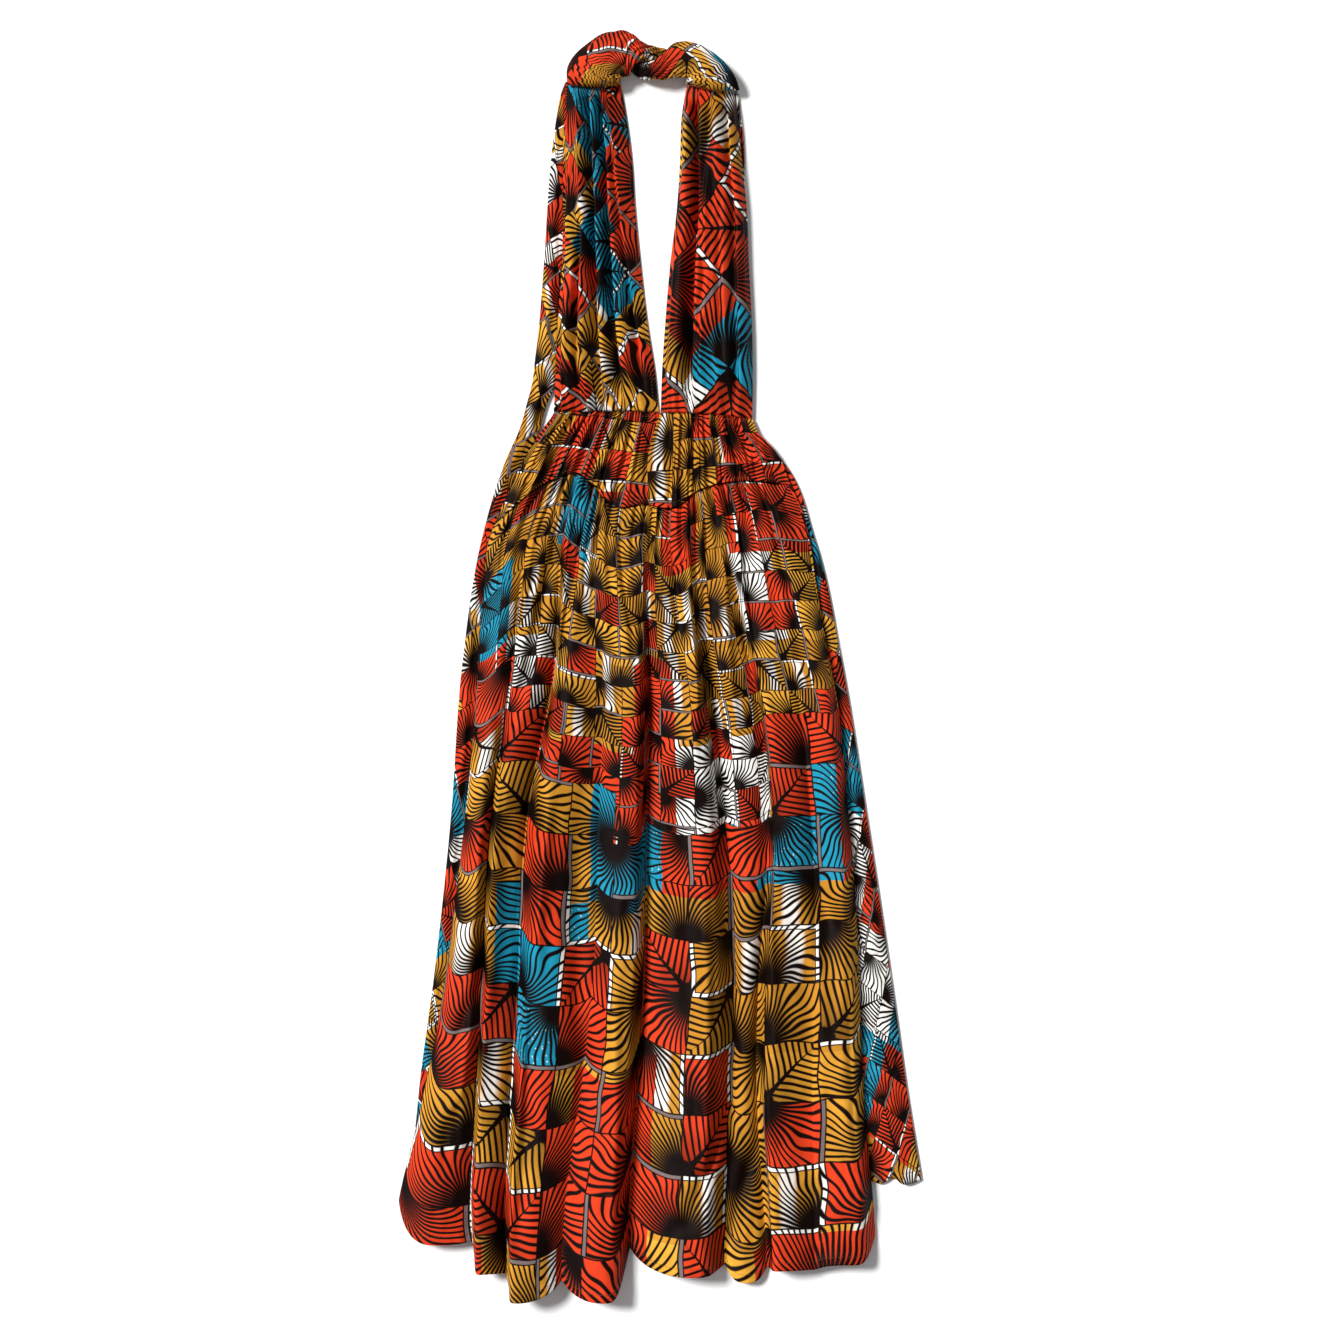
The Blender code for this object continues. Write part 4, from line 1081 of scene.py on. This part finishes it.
# Front of the band
# The band is two short gathered halves. The right one laps over the left one at the centre front,
# and is cut away at its top, where a strip of the left one shows.
BUST_SEAM = (Seam(-0.130, 0.3053), Seam(0.000, 0.3053), Seam(0.083, 0.3000), Seam(0.115, 0.2960))
LAP_LIFT, LAP_OVER_X, LAP_RUN = 0.0038, 0.003, 0.012
LAP_TOP_X = {-1: -0.0004, 1: 0.0010}
LAP_FOOT_X = {-1: -0.0004, 1: -0.0125}
LAP_CUT = (Seam(-0.0125, 0.180), Seam(-0.0125, 0.262), Seam(-0.0060, 0.285), Seam(0.0010, 0.306))
LAP_COLUMNS, LAP_FLAT_COLUMNS = 4, 3
YOKE_SIDE_STEEPNESS = 7
HIDDEN_EDGE_RISE = 0.001
YOKE_TOP_Y = {-1: 0.3053, 1: 0.2965}
YOKE_PUFF = 0.5
YOKE_TOP_DIP, YOKE_FOOT_LIP, YOKE_DIP_RUN = 0.0030, 0.0012, 0.0030
LAP_GROOVE, LAP_GROOVE_WIDTH = 0.0028, 0.0022
CORNER_CRUMPLE, CORNER_CRUMPLE_LENGTH, CORNER_FROM, CORNER_RUN = 0.0022, 0.014, 0.72, 0.16
YOKE_RIPPLE, YOKE_RIPPLE_LENGTH = 0.0007, 0.013
YOKE_PUCKER_HEIGHT = 0.7 * PUCKER_HEIGHT
YOKE_ROWS, YOKE_MIDDLE_ROW = 61, 30
YOKE_SQUARE = 0.036
YOKE_STITCH_ROWS, YOKE_STITCH_INSET = (3, -4), 8


def bust_y(x):
    """The seam between straps and band, as y at x."""
    return column_of(BUST_SEAM, "x", "y", x)


def yoke_surface(column, down, side):
    """The x, y and relief of half of the band, gathered between the strap seam and the waist seam."""
    last = 0 if side < 0 else LAST_COLUMN
    share = np.abs((column - CENTRE_COLUMN) / (last - CENTRE_COLUMN))
    near_centre = 1 - smooth(np.abs(column - CENTRE_COLUMN) / LAP_COLUMNS)
    body_side = body_left if side < 0 else body_right
    top_corner = body_side(YOKE_TOP_Y[side])
    top_x = LAP_TOP_X[side] + share * (top_corner - LAP_TOP_X[side])
    bottom_x = waist_column(column)[0]
    bottom_x = bottom_x + near_centre * (LAP_FOOT_X[side] - bottom_x)
    hidden_edge = HIDDEN_EDGE_RISE * near_centre if side < 0 else 0
    top_y, bottom_y = bust_y(top_x), waist_y(bottom_x) + SEAM_GAP / 2 + hidden_edge
    y = top_y + down * (bottom_y - top_y)
    corner_x, corner_y = waist_column(np.full(column.shape, float(last)))
    side_y = bust_y(top_corner) + down * (corner_y - bust_y(top_corner))
    bulge = (body_side(side_y) - top_corner) - down * (corner_x - top_corner)
    swollen = np.sin(np.pi * np.clip(down, 0, 1)) ** 0.5
    x = top_x + down * (bottom_x - top_x) + share**3 * swollen * bulge
    if side > 0:
        centre_line = LAP_TOP_X[side] + down * (LAP_FOOT_X[side] - LAP_TOP_X[side])
        x = x + near_centre * (column_of(LAP_CUT, "y", "x", y) - centre_line)
    at_side = smooth((1 - share) * YOKE_SIDE_STEEPNESS)
    from_lap = smooth((np.abs(column - CENTRE_COLUMN) - LAP_FLAT_COLUMNS) / LAP_FLAT_COLUMNS)
    puff = 1 + YOKE_PUFF * np.sin(np.pi * down)
    fine = YOKE_RIPPLE * (1 + ripples(x, 0.5 * y, YOKE_RIPPLE_LENGTH, 4.0 + side)) * swollen
    dips = YOKE_TOP_DIP * bell(top_y - y, YOKE_DIP_RUN) - YOKE_FOOT_LIP * bell(y - bottom_y, YOKE_DIP_RUN)
    if side < 0:
        beside_lap = x - column_of(LAP_CUT, "y", "x", y) + LAP_GROOVE_WIDTH
        dips = dips + LAP_GROOVE * bell(beside_lap, LAP_GROOVE_WIDTH)
    corner = smooth((share - CORNER_FROM) / CORNER_RUN)
    fine = fine + CORNER_CRUMPLE * (1 + ripples(x, y, CORNER_CRUMPLE_LENGTH, 2.0 + side)) * corner
    fine = fine + YOKE_PUCKER_HEIGHT * puckers(column) * (0.5 + 0.5 * np.cos(2 * np.pi * down)) ** 0.5
    relief = SEAM_LIFT + (GATHER_HEIGHT * gathers(column) * puff + fine) * from_lap - dips
    return x, y, at_side * np.maximum(relief, 0)


def lay_yoke(name, node, side, seed):
    """Half of the band, over the back and, on the right, lapped over the left half."""
    first, last = (0, CENTRE_COLUMN) if side < 0 else (CENTRE_COLUMN, LAST_COLUMN)
    columns = np.linspace(first, last, POINTS_EACH * (last - first) + 1)
    column, down = np.meshgrid(columns, np.linspace(0, 1, YOKE_ROWS))
    x, y, relief = yoke_surface(column, down, side)
    lap = (LAP_LIFT * (1 - smooth((x - LAP_OVER_X) / LAP_RUN))) if side > 0 else 0
    z = under_front(x, y) + SEAM_GAP + CLOTH + relief + lap
    points = np.stack([x, y, z], -1)
    across = arc_across(points, YOKE_MIDDLE_ROW)[None] + 0 * down
    prints = {"large": print_places(across, BAND_TOP_Y - y, YOKE_SQUARE, 0.06 * side, (1.3 * seed, 0.15))}
    piece = cloth_wall(name, points, prints)
    piece.data.materials.append(printed_cotton(name + " print", seed, rays=FEW_RAYS, redness=0.4))
    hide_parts(node)
    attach(piece, "root")
    stitched_columns = slice(YOKE_STITCH_INSET, -YOKE_STITCH_INSET)
    stitches = sew(name + "_stitches", [points[row, stitched_columns] for row in YOKE_STITCH_ROWS])


lay_yoke("yoke_left_cloth", "yoke_front_left", side=-1, seed=12.0)
lay_yoke("yoke_right_cloth", "yoke_front_right", side=1, seed=14.0)


# Straps
# Each strap is a wide strip of the cotton, laid in long pleats. It is gathered into the band at
# the bust, and its top goes under the twist at the neck.
Pleat = namedtuple("Pleat", "share height")
LEFT_PLEATS = (
    Pleat(0.000, 0.0000), Pleat(0.100, 0.0110), Pleat(0.250, 0.0150), Pleat(0.410, 0.0170),
    Pleat(0.465, 0.0010), Pleat(0.520, 0.0150), Pleat(0.600, 0.0150), Pleat(0.655, 0.0005),
    Pleat(0.710, 0.0140), Pleat(0.850, 0.0150), Pleat(0.900, 0.0080), Pleat(1.000, 0.0000),
)
RIGHT_PLEATS = (
    Pleat(0.000, 0.0000), Pleat(0.120, 0.0130), Pleat(0.270, 0.0160), Pleat(0.335, 0.0005),
    Pleat(0.400, 0.0170), Pleat(0.600, 0.0180), Pleat(0.790, 0.0140), Pleat(0.845, 0.0040),
    Pleat(0.900, 0.0120), Pleat(1.000, 0.0000),
)
LEFT_STRAP_CREASES = (
    Crease(-0.1000, 0.700, -0.1060, 0.420, 0.0030, 0.0050),
    Crease(-0.0480, 0.660, -0.0260, 0.330, -0.0090, 0.0028),
    Crease(-0.0950, 0.500, -0.0990, 0.325, 0.0040, 0.0060),
    Crease(-0.0860, 0.560, -0.0900, 0.300, -0.0090, 0.0034),
    Crease(-0.1070, 0.670, -0.1140, 0.340, -0.0080, 0.0032),
    Crease(-0.0340, 0.480, -0.0200, 0.300, -0.0070, 0.0036),
)
RIGHT_STRAP_CREASES = (
    Crease(0.0380, 0.690, 0.0260, 0.420, 0.0030, 0.0045),
    Crease(0.0660, 0.690, 0.0620, 0.440, -0.0070, 0.0036),
    Crease(0.0580, 0.500, 0.0560, 0.300, -0.0080, 0.0040),
    Crease(0.0820, 0.580, 0.0840, 0.330, -0.0070, 0.0044),
    Crease(0.0920, 0.660, 0.0990, 0.330, 0.0030, 0.0040),
)
STRAP_COLUMNS = 16
STRAP_TUCK, STRAP_TUCK_RUN = 0.008, 0.014
STRAP_TUCK_TOP = 0.0129
STRAP_GATHER_FROM = 0.85
STRAP_SEAM_FROM = 0.7
STRAP_LENGTH, STRAP_SEAM_DIP, STRAP_SEAM_DIP_RUN = 0.39, 0.0018, 0.0025
STRAP_RIPPLE, STRAP_RIPPLE_LENGTH = 0.0006, 0.016
STRAP_LEAST = 0.0006
STRAP_SIDE_STEEPNESS, STRAP_TOP_STEEPNESS, STRAP_RISE_STEEPNESS = 8, 8, 9
STRAP_MARGIN, STRAP_RUN = 0.006, 0.014
STRAP_POINTS, STRAP_MIDDLE_ROW = 113, 70
STRAP_STITCH_COLUMN, STRAP_STITCH_FROM, STRAP_STITCH_TO = 5, 12, -2
# The rows lie closer together where the strap goes under the twist.
STRAP_DOWN = np.concatenate([np.linspace(0, 0.08, 16, endpoint=False), np.linspace(0.08, 1, 121)])


def lay_strap(name, node, edges, pleats, strap_creases, top_rise, lean, tile, turn, rays, seed):
    """A strap from the neck down to the band, pleated at the top and gathered at the seam."""
    share, down = np.meshgrid(np.linspace(0, 1, STRAP_POINTS), STRAP_DOWN)
    y = edges[0].y + down * (edges[-1].y - edges[0].y)
    left, right = column_of(edges, "y", "left", y), column_of(edges, "y", "right", y)
    x = left + share * (right - left)
    y = y + top_rise * np.sin(np.pi * share) * (1 - smooth(down * STRAP_RISE_STEEPNESS))
    y = y + past(STRAP_SEAM_FROM, down) * (bust_y(x) + SEAM_GAP - edges[-1].y)
    relief = column_of(pleats, "share", "height", share)
    edge = smooth(np.minimum(share, 1 - share) * STRAP_SIDE_STEEPNESS)
    seam_share = past(STRAP_GATHER_FROM, down)
    crumple = edge * (SEAM_LIFT + GATHER_HEIGHT * gathers(share * STRAP_COLUMNS))
    relief = relief + seam_share * (crumple - relief)
    rippled = 1 + ripples(x, 0.3 * y, STRAP_RIPPLE_LENGTH, seed)
    relief = relief + edge * STRAP_RIPPLE * rippled * smooth(down * STRAP_TOP_STEEPNESS)
    relief = np.maximum(relief + edge * creases(x, y, strap_creases), STRAP_LEAST * edge)
    relief = relief - edge * STRAP_SEAM_DIP * bell((1 - down) * STRAP_LENGTH, STRAP_SEAM_DIP_RUN)
    tucked = smooth((STRAP_TUCK + STRAP_TUCK_RUN - (edges[0].y - y)) / STRAP_TUCK_RUN)
    lies_on = over_tails(x, y, STRAP_MARGIN, STRAP_RUN) + CLOTH + SEAM_GAP
    under_strand = (STRAP_TUCK_TOP - lies_on) * np.sin(np.pi * share)
    z = lies_on + relief + tucked * (under_strand - relief)
    points = np.stack([x + lean * relief * edge, y, z], -1)
    across = arc_across(points, STRAP_MIDDLE_ROW)[None] + 0 * down
    piece = cloth_wall(name, points, {"large": print_places(across, -y, tile, turn, (seed, 0.4))})
    piece.data.materials.append(printed_cotton(name + " print", seed, rays))
    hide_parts(node)
    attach(piece, "root")
    stitch_columns = (STRAP_STITCH_COLUMN, -1 - STRAP_STITCH_COLUMN)
    lines = [points[STRAP_STITCH_FROM:STRAP_STITCH_TO, column] for column in stitch_columns]
    stitches = sew(name + "_stitches", lines)


lay_strap(
    "strap_left_cloth",
    "strap_front_left",
    LEFT_STRAP,
    LEFT_PLEATS,
    LEFT_STRAP_CREASES,
    top_rise=0.0,
    lean=-0.5,
    tile=0.050,
    turn=0.78,
    rays=9.5,
    seed=16.0,
)
lay_strap(
    "strap_right_cloth",
    "strap_front_right",
    RIGHT_STRAP,
    RIGHT_PLEATS,
    RIGHT_STRAP_CREASES,
    top_rise=0.011,
    lean=-0.45,
    tile=0.078,
    turn=-0.74,
    rays=RAYS,
    seed=18.0,
)


# Neck twist
# At the nape the two straps are rolled up and turned half round each other. Each roll is many
# layers of soft cotton, so it is a rounded form with pleats along it, pressed flat on the other.
Neck = namedtuple("Neck", "outer_x outer_y inner_x inner_y")
NECK = (
    Neck(-0.1128, 0.6960, -0.0480, 0.6960),
    Neck(-0.1116, 0.7152, -0.0468, 0.7008),
    Neck(-0.1020, 0.7320, -0.0456, 0.7032),
    Neck(-0.0870, 0.7455, -0.0444, 0.7044),
    Neck(-0.0700, 0.7572, -0.0420, 0.7056),
    Neck(-0.0516, 0.7606, -0.0372, 0.7056),
    Neck(-0.0325, 0.7548, -0.0288, 0.7044),
    Neck(-0.0165, 0.7464, -0.0180, 0.7020),
    Neck(0.0000, 0.7450, -0.0048, 0.7020),
    Neck(0.0160, 0.7485, 0.0096, 0.7044),
    Neck(0.0330, 0.7485, 0.0240, 0.7044),
    Neck(0.0500, 0.7435, 0.0324, 0.7044),
    Neck(0.0660, 0.7355, 0.0348, 0.7008),
    Neck(0.0800, 0.7240, 0.0336, 0.6960),
    Neck(0.0905, 0.7075, 0.0324, 0.6900),
    Neck(0.0955, 0.6852, 0.0312, 0.6840),
)
TWIST_FROM, TWIST_TO = 4.6, 9.8
STRAND_PRESS = 0.93
STRAND_SHARE = 0.51
UPPER_HALF_HEIGHT, TWIST_HALF_HEIGHT, LOWER_HALF_HEIGHT = 0.0100, 0.0130, 0.0056
STRAND_SIDES, STRAND_RINGS = 96, 150
STRAND_PLEATS, STRAND_PLEAT_DEPTH, TWIST_DEEPENS = 9, 0.26, 0.9
STRAND_SQUARE = 0.042
STRAND_END_RUN, STRAND_END_SHARE = 0.9, 0.30
WIND_FROM, WIND_TO, WIND_TURN = 4.0, 10.4, 17.0
# The end that shows reaches down over its strap by end_reach, given at its two edges and its middle,
# and this reach fades out over a few stations.
END_REACH_RUN = 3.5


def neck_station(at):
    """The outer and the inner edge of the neck band at a station, as points over the floor."""
    stations = np.arange(len(NECK))
    outer_x, outer_y, inner_x, inner_y = (float(along(stations, column, at)) for column in zip(*NECK))
    return np.array([outer_x, outer_y]), np.array([inner_x, inner_y])


def strand_pair(at):
    """Both strands at a station, each as its centre (across, z) and its half width and half height."""
    outer, inner = neck_station(at)
    half = STRAND_SHARE * np.linalg.norm(outer - inner) / 2
    turned = min(max((at - TWIST_FROM) / (TWIST_TO - TWIST_FROM), 0), 1)
    turn = math.pi / 2 * math.cos(math.pi * turned)
    lying = math.sin(turn) ** 2
    wide = half * (1 + lying**2 * (1 / STRAND_SHARE - 1))
    on_top = TWIST_HALF_HEIGHT + lying * (UPPER_HALF_HEIGHT - TWIST_HALF_HEIGHT)
    beneath = TWIST_HALF_HEIGHT + lying * (LOWER_HALF_HEIGHT - TWIST_HALF_HEIGHT)
    apart = STRAND_PRESS * math.cos(turn) * (wide + half)
    low = beneath + SEAM_GAP
    high = low + STRAND_PRESS * abs(math.sin(turn)) * (on_top + beneath)
    upper, lower = (on_top, wide, high), (beneath, half, low)
    stacked = (upper, lower) if turn > 0 else (lower, upper)
    return [
        (np.array([across, z]), width, tall)
        for across, (tall, width, z) in zip((0.5 * apart, -0.5 * apart), stacked)
    ]


def strand_section(at, number, first, last):
    """A strand's outline at a station, as places (across, z), and how far each is to one side."""
    pair = strand_pair(at)
    centre, half, tall = pair[number]
    other = pair[1 - number][0]
    angles = np.linspace(0, 2 * np.pi, STRAND_SIDES + 1)
    twisted = smooth((at - WIND_FROM) / (WIND_TO - WIND_FROM))
    wander = 0.5 * at + 0.4 * np.sin(0.8 * at) + WIND_TURN * twisted
    ridge = np.abs(np.sin(0.5 * STRAND_PLEATS * angles + wander)) ** 0.7
    depth = STRAND_PLEAT_DEPTH * (1 + TWIST_DEEPENS * math.sin(math.pi * twisted))
    pleated = 1 - depth * (1 - ridge) * (0.7 + 0.3 * np.sin(angles * 2 + at))
    section = centre + np.column_stack([half * pleated * np.cos(angles), tall * pleated * np.sin(angles)])
    away = (centre - other) / np.linalg.norm(centre - other)
    clear = (section - (centre + other) / 2) @ away - SEAM_GAP / 2
    section = section - np.minimum(clear, 0)[:, None] * away
    from_end = min(at - first, last - at) / STRAND_END_RUN
    rounded = STRAND_END_SHARE + (1 - STRAND_END_SHARE) * math.sqrt(1 - (1 - min(from_end, 1)) ** 2)
    foot = section[:, 1].min()
    section[:, 1] = foot + (section[:, 1] - foot) * rounded
    return section, (section[:, 0] - centre[0]) / half


def rolled(name, rings, places):
    """A closed roll through the rings of points, whose first and last point are the same."""
    ring_count, wide = rings.shape[:2]
    count = wide - 1
    ring_number, side_number = np.meshgrid(np.arange(ring_count - 1), np.arange(count), indexing="ij")
    a = (ring_number * count + side_number).ravel()
    b = (ring_number * count + (side_number + 1) % count).ravel()
    faces = np.stack([a, b, b + count, a + count], 1).tolist()
    end = (ring_count - 1) * count
    faces.append(list(range(count))[::-1])
    faces.append([end + side for side in range(count)])
    quads = (ring_number * wide + side_number).ravel()
    corners = np.stack([quads, quads + 1, quads + 1 + wide, quads + wide], 1).ravel()
    caps = np.concatenate([np.arange(count)[::-1], (ring_count - 1) * wide + np.arange(count)])
    points = rings[:, :-1].reshape(-1, 3)
    corner_points = np.concatenate([corners, caps])
    return linked(name, smooth_mesh(name, points, faces, corner_points, {"large": places.reshape(-1, 2)}))


def roll_strand(name, node, first, last, number, shown_end, end_reach, seed):
    """One strand of the twist, with pleats along it, flat where it meets the other strand."""
    inwards = shown_end + (1 if shown_end == first else -1)
    end_middle, inner_middle = (np.mean(neck_station(at), axis=0) for at in (shown_end, inwards))
    out_of_end = (end_middle - inner_middle) / np.linalg.norm(end_middle - inner_middle)
    rings, places = [], []
    along_strand, before = 0.0, None
    for at in np.linspace(first, last, STRAND_RINGS):
        section, to_side = strand_section(at, number, first, last)
        outer, inner = neck_station(at)
        direction = (outer - inner) / np.linalg.norm(outer - inner)
        reach = np.interp(to_side, (-1, 0, 1), end_reach) * max(1 - abs(at - shown_end) / END_REACH_RUN, 0)
        flat_ring = (outer + inner) / 2 + section[:, :1] * direction + reach[:, None] * out_of_end
        ring = np.column_stack([flat_ring, section[:, 1]])
        middle = ring[:-1].mean(0)
        along_strand += 0 if before is None else float(np.linalg.norm(middle - before))
        before = middle
        around = np.cumsum(np.linalg.norm(np.diff(ring, axis=0, prepend=ring[:1]), axis=-1))
        rings.append(ring)
        place = print_places(around, np.full(len(around), along_strand), STRAND_SQUARE, 0.5, (seed, 0.2))
        places.append(place)
    piece = rolled(name, np.array(rings), np.array(places))
    piece.data.materials.append(printed_cotton(name + " print", seed))
    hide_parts(node)
    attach(piece, "root")


roll_strand(
    "neck_strand_left",
    "neck_twist_a",
    first=0.0,
    last=12.6,
    number=0,
    shown_end=0.0,
    end_reach=(-0.001, 0.003, -0.001),
    seed=21.0,
)
roll_strand(
    "neck_strand_right",
    "neck_twist_b",
    first=2.0,
    last=14.4,
    number=1,
    shown_end=14.4,
    end_reach=(-0.011, 0.004, 0.009),
    seed=23.0,
)
